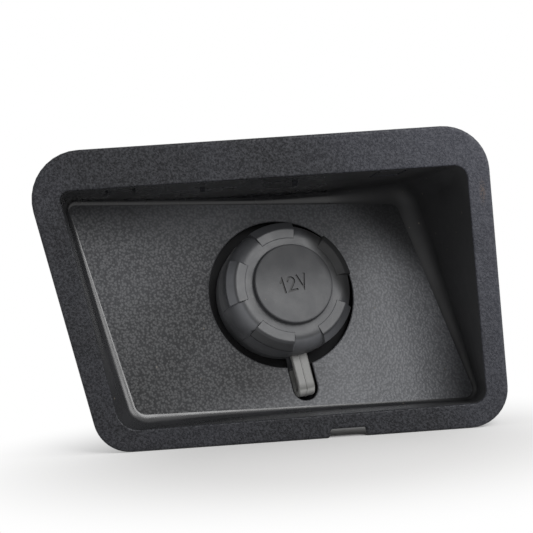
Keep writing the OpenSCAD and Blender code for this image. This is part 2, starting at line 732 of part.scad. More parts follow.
// Pan-head screw with a cross recess, under the housing's ear
module housing_screw(a) {
    head_r = 2.9;
    head_t = 2.1;
    color("dimgray") on_socket() rotate([0, 0, a]) translate([screw_circle_r, 0, ear_back]) {
        cylinder(h = screw_len, r = screw_r, $fn = small_fn);
        difference() {
            rotate_extrude($fn = small_fn)
                polygon([[0, 0], [head_r, 0], [head_r, -0.7], [head_r - 0.6, -1.6],
                         [head_r - 1.5, -head_t], [0, -head_t]]);
            for (turn = [0, 90]) rotate([0, 0, turn]) translate([-1.5, -0.3, -head_t - cut]) cube([3, 0.6, cut + 1.2]);
        }
    }
}

module screw_1() { housing_screw(ear_angles[0]); }
module screw_2() { housing_screw(ear_angles[1]); }
module screw_3() { housing_screw(ear_angles[2]); }

trim_panel();
cap();
cap_strap();
socket_housing();
barrel();
base_insulator();
contact_spring();
centre_contact();
contact_rivet();
rear_insulator();
positive_terminal();
rivet_washer();
negative_terminal();
earth_rivet();
connector_housing();
screw_1();
screw_2();
screw_3();
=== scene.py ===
"""A car's 12 V power socket in a recessed trim panel, under a rubber cap on a strap.

The packed model is the fixed frame. Each operator dresses one piece, or a group of like pieces.
"""

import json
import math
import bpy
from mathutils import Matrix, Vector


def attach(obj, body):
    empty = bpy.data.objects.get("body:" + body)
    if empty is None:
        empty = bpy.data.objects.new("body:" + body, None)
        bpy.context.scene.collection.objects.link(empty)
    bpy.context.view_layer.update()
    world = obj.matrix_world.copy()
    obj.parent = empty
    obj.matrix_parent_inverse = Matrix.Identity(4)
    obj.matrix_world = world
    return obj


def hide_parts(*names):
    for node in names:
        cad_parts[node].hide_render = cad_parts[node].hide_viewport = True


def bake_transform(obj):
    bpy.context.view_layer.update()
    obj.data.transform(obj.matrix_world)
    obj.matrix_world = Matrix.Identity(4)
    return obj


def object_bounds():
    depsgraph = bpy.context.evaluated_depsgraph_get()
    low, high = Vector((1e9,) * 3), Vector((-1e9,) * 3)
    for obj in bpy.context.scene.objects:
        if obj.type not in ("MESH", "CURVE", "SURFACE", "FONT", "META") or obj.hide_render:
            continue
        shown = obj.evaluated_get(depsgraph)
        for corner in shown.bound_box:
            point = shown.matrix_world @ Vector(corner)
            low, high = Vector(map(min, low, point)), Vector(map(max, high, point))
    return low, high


bl_info = {
    "name": "Car 12 V power socket",
    "version": (1, 0, 0),
    "blender": (4, 5, 0),
    "location": "3D View > Sidebar > Socket",
    "description": "Builds a recessed trim panel with a capped 12 V power socket",
    "category": "Object",
}

import bmesh
import bpy
import numpy as np
from bpy.props import FloatProperty, FloatVectorProperty, IntProperty, PointerProperty
from mathutils import Matrix, Vector, geometry

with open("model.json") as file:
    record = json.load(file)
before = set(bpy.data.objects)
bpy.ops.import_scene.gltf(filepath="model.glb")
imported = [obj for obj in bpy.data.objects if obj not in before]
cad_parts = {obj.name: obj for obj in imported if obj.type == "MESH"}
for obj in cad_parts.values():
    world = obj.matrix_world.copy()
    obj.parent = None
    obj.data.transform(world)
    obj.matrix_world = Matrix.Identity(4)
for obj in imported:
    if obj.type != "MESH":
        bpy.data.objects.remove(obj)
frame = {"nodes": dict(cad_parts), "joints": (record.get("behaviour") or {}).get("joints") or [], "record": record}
cad_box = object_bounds()

MM = 0.001
PANEL_BODY = "panel"
CAP_BODY = "cap"

# The socket's axis towards the viewer, and the floor's own right and up directions
BORE = next(mount for mount in frame["record"]["mounts"] if mount["kind"] == "bore")
FACING = np.array(BORE["axis"]) / np.linalg.norm(BORE["axis"])
RIGHTWARD = np.cross(-FACING, (0.0, 0.0, 1.0))
RIGHTWARD = RIGHTWARD / np.linalg.norm(RIGHTWARD)
UPWARD = np.cross(FACING, RIGHTWARD)
REARWARD = np.array((0.0, 1.0, 0.0))

# The flange's own right and up directions
PANEL_RIGHT = np.array((1.0, 0.0, 0.0))
PANEL_UP = np.array((0.0, 0.0, 1.0))


def length(name, description, millimetres):
    """A size property, given in millimetres and held in metres."""
    return FloatProperty(name=name, description=description, default=millimetres * MM,
                         min=0.0, unit="LENGTH", precision=4)


def turn(name, description, degrees):
    """An angle property, given in degrees and held in radians."""
    return FloatProperty(name=name, description=description, default=math.radians(degrees),
                         subtype="ANGLE", unit="ROTATION")


def tint(name, description, colour):
    """A colour property."""
    return FloatVectorProperty(name=name, description=description, default=colour,
                               min=0.0, max=1.0, size=3, subtype="COLOR")


def factor(name, description, value):
    """A plain number property from 0 upward."""
    return FloatProperty(name=name, description=description, default=value, min=0.0)


def aim(name, millimetres):
    """A coordinate of the camera's target, which may be below 0."""
    return FloatProperty(name=name, description="Point that the camera looks at",
                         default=millimetres * MM, unit="LENGTH")


class PanelSizes(bpy.types.PropertyGroup):
    """Sizes of the moulded trim panel."""

    flange_width: length("Flange width", "Width of the flange along its top edge", 120)
    flange_height: length("Flange height", "Height of the flange", 78)
    flange_thickness: length("Flange thickness", "Thickness of the flange with its rim", 2.5)
    left_lean: turn("Left lean", "Lean of the flange's left edge", 11.9)
    right_lean: turn("Right lean", "Lean of the flange's right edge", 1.4)
    axis_from_top: length("Axis from top", "Socket axis to the flange's top edge", 41.4)
    axis_from_right: length("Axis from right", "Socket axis to the top right corner", 53.2)
    corner_top_left: length("Top left corner", "Round of the flange's corner", 12.5)
    corner_top_right: length("Top right corner", "Round of the flange's corner", 12)
    corner_low_right: length("Low right corner", "Round of the flange's corner", 10)
    corner_low_left: length("Low left corner", "Round of the flange's corner", 9.5)
    edge_round: length("Edge round", "Round of the flange's front edge", 0.7)
    rim_width: length("Rim width", "Width of the raised rim on the flange's back", 1)
    rim_height: length("Rim height", "Height of the raised rim", 0.4)
    notch_width: length("Notch width", "Width of the notch in the bottom edge", 9)
    notch_depth: length("Notch depth", "Depth of the notch", 2.2)
    notch_place: length("Notch place", "Middle of the notch right of the axis", 13)
    notch_round: length("Notch round", "Round of the notch's inner corners", 0.6)
    notch_lip: length("Notch lip", "Round where the notch meets the bottom edge", 0.8)
    border_top: length("Top border", "Flange border above the pocket", 10.2)
    border_left_top: length("Upper left border", "Border left of the pocket, at its top", 7.5)
    border_left_low: length("Lower left border", "Border left of the pocket, at its foot", 6.2)
    border_right: length("Right border", "Border right of the pocket", 5.8)
    border_low_left: length("Low border, left", "Border below the pocket, at its left", 5.5)
    border_low_right: length("Low border, right", "Border below the pocket, at its right", 6.4)
    opening_round: length("Opening round", "Round of the pocket's front edge", 0.45)
    floor_depth: length("Floor depth", "Pocket floor behind the seat, on the axis", 21.8)
    wall: length("Wall", "Thickness of the pocket's walls and floor", 2.2)
    keyhole_radius: length("Keyhole radius", "Hole in the floor round the cap", 19.8)
    keyhole_left: length("Keyhole to the left", "Middle of the hole left of the socket's axis", 0.5)
    keyhole_down: length("Keyhole down", "Middle of the hole below the socket's axis", 0.5)
    slot_half: length("Slot half width", "Half the width of the strap's slot", 3.45)
    slot_end: length("Slot end", "Reach of the strap's slot from the axis", 29.1)
    slit: length("Slit", "Width of the slits round the snap tongues", 0.8)
    tongue_width: length("Tongue width", "Width of a snap tongue", 7)
    tongue_length: length("Tongue length", "Length of a snap tongue", 10)
    sheet: length("Trim sheet", "Thickness of the trim that the hooks hold", 2.2)
    hook_width: length("Hook width", "Width of a hook below the pocket", 9)
    gusset_width: length("Gusset width", "Thickness of a gusset above the pocket", 1.4)
    boss_radius: length("Boss radius", "Radius of a screw boss", 3.5)
    standoff: length("Standoff", "Length of the screw bosses", 4.1)
    pilot_radius: length("Pilot radius", "Radius of a boss's pilot hole", 1.45)
    screw_circle: length("Screw circle", "Distance of the screws from the socket's axis", 24)


class CapSizes(bpy.types.PropertyGroup):
    """Sizes of the rubber cap and its strap."""

    radius: length("Cap radius", "Radius over the grip lugs", 17.4)
    face: length("Cap face", "Height of the disc above the pocket floor", 10.2)
    lower_edge: length("Lower edge", "Depth of the cap's edge behind the floor's front", 1.5)
    bore: length("Cap bore", "Radius of the cap's inside", 15.2)
    disc_radius: length("Disc radius", "Radius of the raised disc", 10.6)
    disc_step: length("Disc step", "Height of the raised disc", 2)
    lug_count: IntProperty(name="Lugs", description="Number of grip lugs", default=5, min=1)
    lug_arc: turn("Lug arc", "Arc that one grip lug covers", 42)
    lug_start: turn("Lug start", "Direction of the first lug", 28)
    letter_height: length("Letter height", "Height of the voltage mark", 3.5)
    letter_stroke: length("Letter stroke", "Width of the mark's strokes", 0.56)
    letter_depth: length("Letter depth", "Depth of the mark's strokes", 0.4)
    letter_turn: turn("Letter turn", "Turn of the voltage mark on the disc", 10)
    strap_angle: turn("Strap angle", "Direction of the strap", 276)
    strap_width: length("Strap width", "Width of the strap", 4.5)
    strap_thickness: length("Strap thickness", "Thickness of the strap", 1.6)
    strap_reach: length("Strap reach", "Reach of the strap's bend from the axis", 27.9)
    strap_drop: length("Strap drop", "Depth between the strap's two legs, outside", 5.6)


class Finishes(bpy.types.PropertyGroup):
    """Colours of the materials."""

    panel: tint("Panel", "Black moulded plastic of the panel", (0.010, 0.0105, 0.0135))
    walls: tint("Pocket walls", "The same plastic, smooth, in the pocket", (0.0165, 0.0168, 0.0182))
    # The floor's colour is lighter than the panel's as painted sheen
    floor: tint("Pocket floor", "The same plastic under its leather-like grain", (0.036, 0.037, 0.040))
    rubber: tint("Rubber", "Rubber of the cap", (0.037, 0.038, 0.041))
    # The strap is painted lighter where it bends, as painted light
    strap: tint("Strap rubber", "Rubber of the strap, paler where it bends", (0.15, 0.15, 0.145))
    scuff: tint("Scuff", "Brown scuff on the flange", (0.10, 0.065, 0.04))
    dust_and_painted_shading: tint("Dust", "Specks of dust", (0.12, 0.105, 0.085))
    housing: tint("Housing", "Black plastic of the socket's housing", (0.014, 0.014, 0.015))
    plated: tint("Plated steel", "Nickel plate on the barrel", (0.62, 0.60, 0.56))
    brass: tint("Brass", "Rolled brass of the terminals", (0.62, 0.44, 0.18))
    board: tint("Board", "Pressed insulating board", (0.16, 0.07, 0.03))
    zinc: tint("Zinc", "Zinc plate on the screws", (0.50, 0.49, 0.46))


class Studio(bpy.types.PropertyGroup):
    """Camera and lamps."""

    azimuth: turn("Azimuth", "Camera's turn round the part, to the right", -3)
    elevation: turn("Elevation", "Camera's height angle", 3.5)
    roll: turn("Roll", "Camera's roll", -3.71)
    distance: length("Distance", "Camera to the target", 700)
    lens: factor("Lens", "Focal length in millimetres", 185.05)
    target_x: aim("Target X", -5.30)
    target_y: aim("Target Y", -24.34)
    target_z: aim("Target Z", 8.57)
    world: factor("World light", "Strength of the even light", 0.4)
    key: factor("Key light", "Power of the front lamp in watts", 3.0)
    side: factor("Side light", "Power of the side lamp in watts", 2.6)
    floor: tint("Floor", "Colour of the floor", (0.82, 0.815, 0.81))
    floor_lift: factor("Floor lift", "Share of plain white in the floor near the part", 0.0)


def unit(vector):
    """A vector of length 1 in the same direction."""
    return vector / np.linalg.norm(vector)


def on_floor(x, y, s=0.0):
    """A point from floor coordinates and the height along the socket's axis."""
    return x * RIGHTWARD + y * UPWARD + s * FACING


def round_axis(radius, angle, s):
    """A point from its distance to the socket's axis, its direction and its height along the axis."""
    return on_floor(radius * math.cos(angle), radius * math.sin(angle), s)


def blend(a, b, share):
    """The value a share of the way from a to b."""
    return a + (b - a) * share


def ease(share):
    """A smooth step from 0 to 1."""
    share = min(max(share, 0.0), 1.0)
    return share * share * (3.0 - 2.0 * share)


def between(first, second, share):
    """The unit vector a share of the way along the arc between two unit vectors."""
    angle = math.acos(min(max(float(np.dot(first, second)), -1.0), 1.0))
    return (first * math.sin(angle * (1 - share)) + second * math.sin(angle * share)) / math.sin(angle)


class Outline:
    """A clockwise closed outline with rounded corners: its points, outward normals and places.

    A place is the corner's number plus the share of the side after it. It stays whole in a corner.
    """

    def __init__(self, corners, radii, corner_steps=10, side_steps=12):
        self.corners = [np.array(corner, float) for corner in corners]
        self.radii = list(radii)
        self.corner_steps = corner_steps
        self.side_steps = side_steps
        self.points = []
        self.normals = []
        self.places = []
        count = len(self.corners)
        arcs = [self.arc(i) for i in range(count)]
        for i, (points, normals) in enumerate(arcs):
            self.take(points, normals, [float(i)] * len(points))
            start, stop = points[-1], arcs[(i + 1) % count][0][0]
            shares = [step / side_steps for step in range(1, side_steps)]
            self.take([blend(start, stop, share) for share in shares],
                      [normals[-1]] * len(shares), [i + share for share in shares])

    def take(self, points, normals, places):
        """Adds a stretch of the outline."""
        self.points.extend(points)
        self.normals.extend(normals)
        self.places.extend(places)

    def corner(self, i):
        """A corner, the directions to its neighbours, half its angle, and whether it is hollow."""
        at = self.corners[i]
        u = unit(self.corners[i - 1] - at)
        v = unit(self.corners[(i + 1) % len(self.corners)] - at)
        half = math.acos(float(np.dot(u, v))) / 2
        return at, u, v, half, u[0] * v[1] - u[1] * v[0] < 0

    def arc(self, i):
        """Points and outward normals of one rounded corner."""
        at, u, v, half, hollow = self.corner(i)
        centre = at + unit(u + v) * self.radii[i] / math.sin(half)
        start = at + u * self.radii[i] / math.tan(half) - centre
        sweep = (math.pi - 2 * half) * (1 if hollow else -1)
        points, normals = [], []
        for step in range(self.corner_steps + 1):
            angle = sweep * step / self.corner_steps
            arm = np.array((start[0] * math.cos(angle) - start[1] * math.sin(angle),
                            start[0] * math.sin(angle) + start[1] * math.cos(angle)))
            points.append(centre + arm)
            normals.append(-unit(arm) if hollow else unit(arm))
        return points, normals

    def inset(self, distance):
        """The outline moved inward, with a point for each point of this one."""
        least = 0.05 * MM
        corners, radii = [], []
        for i in range(len(self.corners)):
            at, u, v, half, hollow = self.corner(i)
            shift = unit(u + v) * distance / math.sin(half)
            corners.append(at - shift if hollow else at + shift)
            radii.append(self.radii[i] + distance if hollow else max(self.radii[i] - distance, least))
        return Outline(corners, radii, self.corner_steps, self.side_steps)


def room_inside(point, polygon):
    """Distance from a point inside a polygon to its nearest edge."""
    ends = np.roll(polygon, -1, axis=0)
    edges = ends - polygon
    shares = np.clip(np.sum((point - polygon) * edges, axis=1) / np.sum(edges * edges, axis=1), 0, 1)
    feet = polygon + edges * shares[:, None]
    return float(np.min(np.linalg.norm(point - feet, axis=1)))


def inside(points, polygon):
    """Which of the points lie inside a polygon."""
    hits = np.zeros(len(points), bool)
    for a, b in zip(polygon, np.roll(polygon, -1, axis=0)):
        crosses = (a[1] > points[:, 1]) != (b[1] > points[:, 1])
        with np.errstate(divide="ignore", invalid="ignore"):
            at = a[0] + (points[:, 1] - a[1]) * (b[0] - a[0]) / (b[1] - a[1])
        hits ^= crosses & (points[:, 0] < at)
    return hits


class Skin:
    """Points and faces of one closed mesh, each face with the number of its material."""

    def __init__(self):
        self.points = []
        self.faces = []
        self.marks = []

    def ring(self, points):
        """Adds points and returns their numbers."""
        start = len(self.points)
        self.points.extend(tuple(float(value) for value in point) for point in points)
        return list(range(start, len(self.points)))

    def face(self, corners, mark=0):
        """Adds one face."""
        self.faces.append(tuple(corners))
        self.marks.append(mark)

    def bridge(self, first, second, mark=0, closed=True):
        """Adds the band of faces between two rings of equal count."""
        count = len(first)
        for i in range(count if closed else count - 1):
            j = (i + 1) % count
            self.face((first[i], first[j], second[j], second[i]), mark)

    def loft(self, rings, mark=0, closed=True):
        """Adds the bands between rings that follow each other."""
        for first, second in zip(rings, rings[1:]):
            self.bridge(first, second, mark, closed)

    def fill(self, outer, holes, right, up, mark=0):
        """Fills the flat region inside one ring and outside the others with triangles."""
        numbers, flat, edges, polygons = [], [], [], []
        seen = {}
        for ring in [outer] + holes:
            loop = []
            for number in ring:
                point = np.array(self.points[number])
                spot = (float(np.dot(point, right)), float(np.dot(point, up)))
                key = (round(spot[0] / MM, 4), round(spot[1] / MM, 4))
                if key not in seen:
                    seen[key] = len(flat)
                    flat.append(spot)
                    numbers.append(number)
                if not loop or loop[-1] != seen[key]:
                    loop.append(seen[key])
            if loop[0] == loop[-1]:
                loop.pop()
            edges.extend(zip(loop, loop[1:] + loop[:1]))
            polygons.append(np.array([flat[i] for i in loop]))
        vertices, _, faces, origins, _, _ = geometry.delaunay_2d_cdt(
            [Vector(spot) / MM for spot in flat], edges, [], 1, 1e-6)
        centres = np.array([np.mean([vertices[i][:] for i in face], axis=0) for face in faces]) * MM
        keep = inside(centres, polygons[0])
        for hole in polygons[1:]:
            keep &= ~inside(centres, hole)
        for face, wanted in zip(faces, keep):
            if wanted:
                self.face([numbers[origins[i][0]] for i in face], mark)

    def revolve(self, profile, steps, middle=(0.0, 0.0, 0.0)):
        """Turns a closed profile of (radius, height) pairs into a ring, its axis along the socket's."""
        rings = [self.ring([middle + round_axis(radius, 2 * math.pi * step / steps, height)
                            for step in range(steps)]) for radius, height in profile]
        self.loft(rings + rings[:1])

    def build(self, name, materials):
        """Makes the object, with doubled points joined and its faces turned outward."""
        mesh = bpy.data.meshes.new(name)
        mesh.from_pydata(self.points, [], self.faces)
        mesh.polygons.foreach_set("material_index", self.marks)
        for material in materials:
            mesh.materials.append(material)
        tidy(mesh)
        thing = bpy.data.objects.new(name, mesh)
        bpy.context.scene.collection.objects.link(thing)
        return thing


def tidy(mesh):
    """Joins doubled points, drops empty faces and turns the faces outward."""
    work = bmesh.new()
    work.from_mesh(mesh)
    bmesh.ops.remove_doubles(work, verts=work.verts, dist=0.002 * MM)
    bmesh.ops.dissolve_degenerate(work, edges=work.edges, dist=0.001 * MM)
    bmesh.ops.recalc_face_normals(work, faces=work.faces)
    work.to_mesh(mesh)
    work.free()


def smooth(thing, degrees=35):
    """Shades a piece smooth, with sharp edges past an angle and flat faces kept flat."""
    thing.data.shade_smooth()
    thing.data.set_sharp_from_angle(angle=math.radians(degrees))
    weighted = thing.modifiers.new("flat faces", "WEIGHTED_NORMAL")
    weighted.mode = "FACE_AREA"
    weighted.weight = 100
    weighted.keep_sharp = True


def applied(thing):
    """Applies a piece's modifiers to its mesh."""
    view = bpy.context.evaluated_depsgraph_get()
    mesh = bpy.data.meshes.new_from_object(thing.evaluated_get(view))
    old = thing.data
    thing.modifiers.clear()
    thing.data = mesh
    mesh.name = thing.name
    bpy.data.meshes.remove(old)


def combine(thing, others, operation):
    """Joins solids to a piece, or cuts them from it."""
    for other in others:
        step = thing.modifiers.new("solid", "BOOLEAN")
        step.operation = operation
        step.solver = "EXACT"
        step.object = other
    applied(thing)
    for other in others:
        mesh = other.data
        bpy.data.objects.remove(other)
        bpy.data.meshes.remove(mesh)


def prism(name, profile, x0, x1, lean=0.0, pivot=0.0, soften=0.0):
    """A solid with a (depth, height) profile from x0 to x1, which leans sideways with its depth."""
    skin = Skin()
    ends = [skin.ring([(x + math.tan(lean) * (y - pivot), y, z) for y, z in profile]) for x in (x0, x1)]
    skin.bridge(ends[0], ends[1])
    skin.face(ends[0])
    skin.face(ends[1])
    thing = skin.build(name, [])
    if soften:
        work = bmesh.new()
        work.from_mesh(thing.data)
        bmesh.ops.bevel(work, geom=work.edges[:], offset=soften, segments=2, profile=0.5,
                        affect="EDGES", clamp_overlap=True)
        work.to_mesh(thing.data)
        work.free()
    return thing


class Value:
    """A node socket that takes part in arithmetic."""

    def __init__(self, graph, socket):
        self.graph = graph
        self.socket = socket

    def math(self, operation, other, flip=False):
        """A Math node of this value and another."""
        parts = [other, self] if flip else [self, other]
        return self.graph.add("Math", {"operation": operation}, dict(enumerate(parts)))

    def __add__(self, other):
        return self.math("ADD", other)

    def __sub__(self, other):
        return self.math("SUBTRACT", other)

    def __rsub__(self, other):
        return self.math("SUBTRACT", other, flip=True)

    def __mul__(self, other):
        return self.math("MULTIPLY", other)

    __radd__ = __add__
    __rmul__ = __mul__

    def step(self, start, stop, low=0.0, high=1.0):
        """Eases from low to high as this value goes from start to stop."""
        settings = {"interpolation_type": "SMOOTHSTEP"}
        return self.graph.add("MapRange", settings, {"Value": self, "From Min": start, "From Max": stop,
                                                     "To Min": low, "To Max": high})

    def out(self, name):
        """Another output of the same node."""
        return Value(self.graph, self.socket.node.outputs[name])


class Graph:
    """The nodes of one material or world."""

    def __init__(self, owner):
        owner.use_nodes = True
        self.tree = owner.node_tree
        self.tree.nodes.clear()

    def add(self, kind, settings=None, sockets=None):
        """Adds a node, with its settings first and then its sockets, and returns its first output."""
        node = self.tree.nodes.new("ShaderNode" + kind)
        for name, value in (settings or {}).items():
            setattr(node, name, value)
        for name, value in (sockets or {}).items():
            self.fill(self.find(node, name), value)
        outputs = [socket for socket in node.outputs if socket.enabled]
        return Value(self, outputs[0]) if outputs else node

    @staticmethod
    def find(node, name):
        """An input by its number or its name, among those in use."""
        if isinstance(name, int):
            return node.inputs[name]
        return next(socket for socket in node.inputs if socket.enabled and socket.name == name)

    def fill(self, socket, value):
        """Links or sets one input."""
        if isinstance(value, Value):
            self.tree.links.new(value.socket, socket)
        else:
            socket.default_value = value

    def coordinates(self):
        """Coordinates in metres, in the part's frame."""
        return self.add("TexCoord").out("Object")

    def noise(self, where, cell, detail=2.0, roughness=0.5):
        """Noise from 0 to 1 with cells of a given size in millimetres."""
        return self.add("TexNoise", {}, {"Vector": where, "Scale": 1.0 / (cell * MM),
                                         "Detail": detail, "Roughness": roughness})

    def along(self, where, direction):
        """Distance of a place from the origin in a direction."""
        return self.add("VectorMath", {"operation": "DOT_PRODUCT"}, {0: where, 1: direction}).out("Value")

    def near(self, where, middle, reach):
        """1 at a place, easing to 0 at a reach along each axis, both in millimetres."""
        scale = [1.0 / (size * MM) for size in reach]
        offset = [-at * MM * size for at, size in zip(middle, scale)]
        return self.distance(where, scale, offset).step(0.0, 1.0, 1.0, 0.0)

    def distance(self, where, scale, offset):
        """Length of a place's vector, once scaled along each axis and moved."""
        spot = self.add("VectorMath", {"operation": "MULTIPLY_ADD"}, {0: where, 1: scale, 2: offset})
        return self.add("VectorMath", {"operation": "LENGTH"}, {0: spot}).out("Value")

    def specks(self, where, gap, size):
        """Sparse specks of a size, a gap apart, both in millimetres."""
        cells = self.add("TexVoronoi", {}, {"Vector": where, "Scale": 1.0 / (gap * MM)})
        return cells.step(0.5 * size / gap, size / gap, 0.8, 0.0)

    def mix(self, share, first, second):
        """A colour between two colours."""
        sockets = {"Factor": share, "A": colour4(first), "B": colour4(second)}
        return self.add("Mix", {"data_type": "RGBA"}, sockets)

    def bump(self, height, depth):
        """A Bump node that raises a height from 0 to 1 by a depth in millimetres."""
        return self.add("Bump", {}, {"Height": height, "Distance": depth * MM, "Strength": 1.0})


def colour4(value):
    """A colour with its alpha, or a link as it is."""
    if isinstance(value, Value):
        return value
    return tuple(value)[:3] + (1.0,)


def scaled(colour, share):
    """A colour made darker or lighter, with no channel past 1."""
    return [min(channel * share, 1.0) for channel in colour]


def finish(name, make):
    """Makes a material once, from a function that returns the sockets of its shader."""
    known = bpy.data.materials.get(name)
    if known:
        return known
    material = bpy.data.materials.new(name)
    graph = Graph(material)
    sockets = {key: colour4(value) if key == "Base Color" else value for key, value in make(graph).items()}
    shader = graph.add("BsdfPrincipled", {}, sockets)
    graph.add("OutputMaterial", {}, {"Surface": shader})
    return material


def flange_finish(graph):
    """Fine even grain of the flange."""
    where = graph.coordinates()
    colours = bpy.context.scene.socket_finishes
    grain = graph.noise(where, 0.5, 3.0, 0.65)
    cloud = graph.noise(where, 14.0, 2.0)

    # Painted highlight: lighter towards the upper right, where it is also glossier
    painted_light_mask = graph.along(where, (0.9, 0.0, 0.45)).step(10 * MM, 64 * MM)
    share = 0.3 * grain.step(0.3, 0.7) + 0.1 * cloud.step(0.35, 0.7) + 0.6 * painted_light_mask
    shade = graph.mix(share, scaled(colours.panel, 0.4), scaled(colours.panel, 4.4))
    scuff = graph.near(where, (51.3, -24.3, 24.0), (1.1, 5.0, 4.5)) * grain.step(0.4, 0.6)
    shade = graph.mix(0.6 * scuff, shade, colours.scuff)
    return {"Base Color": shade, "Roughness": painted_light_mask.step(0.0, 1.0, 0.62, 0.46), "Specular IOR Level": 0.2,
            "Coat Weight": grain.step(0.36, 0.66, 0.05, 0.55), "Coat Roughness": 0.42,
            "Normal": graph.bump(grain.step(0.25, 0.75), 0.14)}


def wall_finish(graph):
    """Smooth dark plastic of the pocket's walls and the panel's back."""
    where = graph.coordinates()
    colours = bpy.context.scene.socket_finishes
    cloud = graph.noise(where, 9.0, 3.0)
    fine = graph.noise(where, 1.1, 2.0)
    shade = graph.mix(cloud, scaled(colours.walls, 0.8), scaled(colours.walls, 1.3))
    shade = graph.mix(graph.specks(where, 5.0, 0.35), shade, colours.dust_and_painted_shading)

    # Matter at the right and on the faces that look away from the socket
    right = graph.along(where, (1.0, 0.0, 0.3)).step(18 * MM, 34 * MM)
    outer = graph.along(where, graph.add("TexCoord").out("Normal")).step(0.0, 2 * MM)
    rough = cloud.step(0.3, 0.7, 0.22, 0.32) + 0.4 * right + 0.3 * outer
    return {"Base Color": shade, "Roughness": rough, "Specular IOR Level": 0.5,
            "Normal": graph.bump(fine, 0.002)}


def floor_finish(graph):
    """Leather-like grain of the pocket's floor."""
    where = graph.coordinates()
    colours = bpy.context.scene.socket_finishes
    cells = graph.add("TexVoronoi", {"feature": "SMOOTH_F1"},
                      {"Vector": where, "Scale": 1.0 / (0.62 * MM), "Smoothness": 0.5, "Randomness": 1.0})
    fine = graph.noise(where, 0.4, 2.0)
    pebble = 0.62 + 0.4 * cells.step(0.1, 0.75, 1.0, 0.0) + 0.25 * fine
    cloud = graph.noise(where, 18.0, 3.0)

    # Painted light: lighter towards the lower right, the upper left and the top, darker low in the middle, and
    # painted shade of the walls in the upper right corner, with cloudy tone at random
    right = graph.along(where, (0.87, 0.0, -0.5)).step(-26 * MM, 42 * MM)
    left = graph.along(where, (-0.5, 0.0, 0.87)).step(0 * MM, 28 * MM)
    painted_shade_factor = graph.along(where, (0.7, 0.0, 0.7)).step(23 * MM, 33 * MM, 1.0, 0.1)
    painted_top_light = graph.near(where, (-4.0, 0.0, 26.0), (46.0, 60.0, 16.0))
    painted_light_mask = graph.near(where, (-6.0, -8.0, -22.0), (24.0, 30.0, 13.0))
    dust_and_painted_shading = painted_shade_factor * (0.75 * right + 0.2 * left + 0.08 * cloud.step(0.3, 0.7)) + 0.4 * painted_top_light - 0.3 * painted_light_mask

    shade = graph.mix(dust_and_painted_shading, scaled(colours.floor, 0.3), scaled(colours.floor, 4.6))
    shade = graph.mix(pebble, (0.0, 0.0, 0.0), shade)
    shade = graph.mix(graph.specks(where, 7.0, 0.3), shade, colours.dust_and_painted_shading)
    return {"Base Color": shade, "Roughness": (painted_shade_factor * right).step(0.0, 1.0, 0.74, 0.42),
            "Specular IOR Level": 0.28, "Coat Weight": pebble.step(0.7, 1.15, 0.0, 0.34) * painted_shade_factor,
            "Coat Roughness": 0.46, "Normal": graph.bump(pebble, 0.16)}


def groove_shade_finish(graph):
    """Rubber darkened as painted shade in the sunk strokes of the voltage mark."""
    shade = graph.noise(graph.coordinates(), 0.8, 3.0)
    return {"Base Color": graph.mix(shade, (0.006, 0.006, 0.007), (0.02, 0.02, 0.021)),
            "Roughness": 0.5, "Specular IOR Level": 0.35}


def edge_shade_finish(graph):
    """Matt near-black painted shade on the edge round the keyhole."""
    shade = graph.noise(graph.coordinates(), 2.0, 3.0)
    return {"Base Color": graph.mix(shade, (0.001, 0.001, 0.001), (0.004, 0.004, 0.004)),
            "Roughness": 0.8, "Specular IOR Level": 0.1}


def rubber_finish(colour_name, level):
    """A function that makes matt rubber for a piece whose top lies at a level in millimetres."""
    def make(graph):
        where = graph.coordinates()
        colours = bpy.context.scene.socket_finishes
        colour = getattr(colours, colour_name)
        cloud = graph.noise(where, 5.0, 4.0, 0.6)
        fine = graph.noise(where, 0.3, 2.0)
        height = graph.along(where, FACING)
        across, up = graph.along(where, RIGHTWARD), graph.along(where, UPWARD)

        # Painted shade: darker and matter at the upper right, and on the disc darker and matter towards its top
        upper_right_shade = graph.along(where, (0.88, 0.0, 0.47)).step(11.5 * MM, 14.5 * MM, 1.0, 0.0)
        deep = height.step(-4 * MM, -2 * MM, 0.4, 0.0)
        disc = height.step((level + 1.5) * MM, (level + 1.8) * MM)
        disc_shade = disc * (0.12 + 0.33 * up.step(-4 * MM, 8 * MM))
        share = upper_right_shade * (0.75 + 0.25 * cloud.step(0.3, 0.75)) * (1.0 - disc_shade)
        shade = graph.mix(share, scaled(colour, 0.15), scaled(colour, 1.25))

        # Painted light on the sides that face down and left, and painted shade on the lowest lug's bevel
        side = height.step((level - 0.5) * MM, (level - 0.1) * MM, 1.0, 0.0)
        low_left = graph.along(where, (-0.6, 0.0, -0.8)).step(-6 * MM, 8 * MM)
        painted_side_light = side * low_left * cloud.step(0.25, 0.6, 0.75, 1.0)
        shade = graph.mix(painted_side_light, shade, scaled(colour, 2.7))
        bevel = height.step(5.7 * MM, 6.1 * MM) * up.step(-10.9 * MM, -10.6 * MM, 1.0, 0.0)
        bevel = side * bevel * across.step(-2.0 * MM, -1.5 * MM, 1.0, 0.0)
        shade = graph.mix(0.85 * bevel, shade, scaled(colour, 0.3))

        # Dust, and broken flash along the mould's parting line
        shade = graph.mix(graph.specks(where, 4.0, 0.16), shade, colours.dust_and_painted_shading)
        parting = height.step(1.5 * MM, 1.62 * MM) * height.step(1.62 * MM, 1.74 * MM, 1.0, 0.0)
        flash = 0.5 * parting * graph.noise(where, 1.6).step(0.45, 0.55)
        shade = graph.mix(flash, shade, (0.3, 0.3, 0.29))
        rough = cloud.step(0.3, 0.7, 0.38, 0.48) + (0.35 - 0.35 * upper_right_shade) + deep + 0.55 * disc_shade
        return {"Base Color": shade, "Roughness": rough,
                "Specular IOR Level": 0.42, "Normal": graph.bump(fine, 0.02)}
    return make


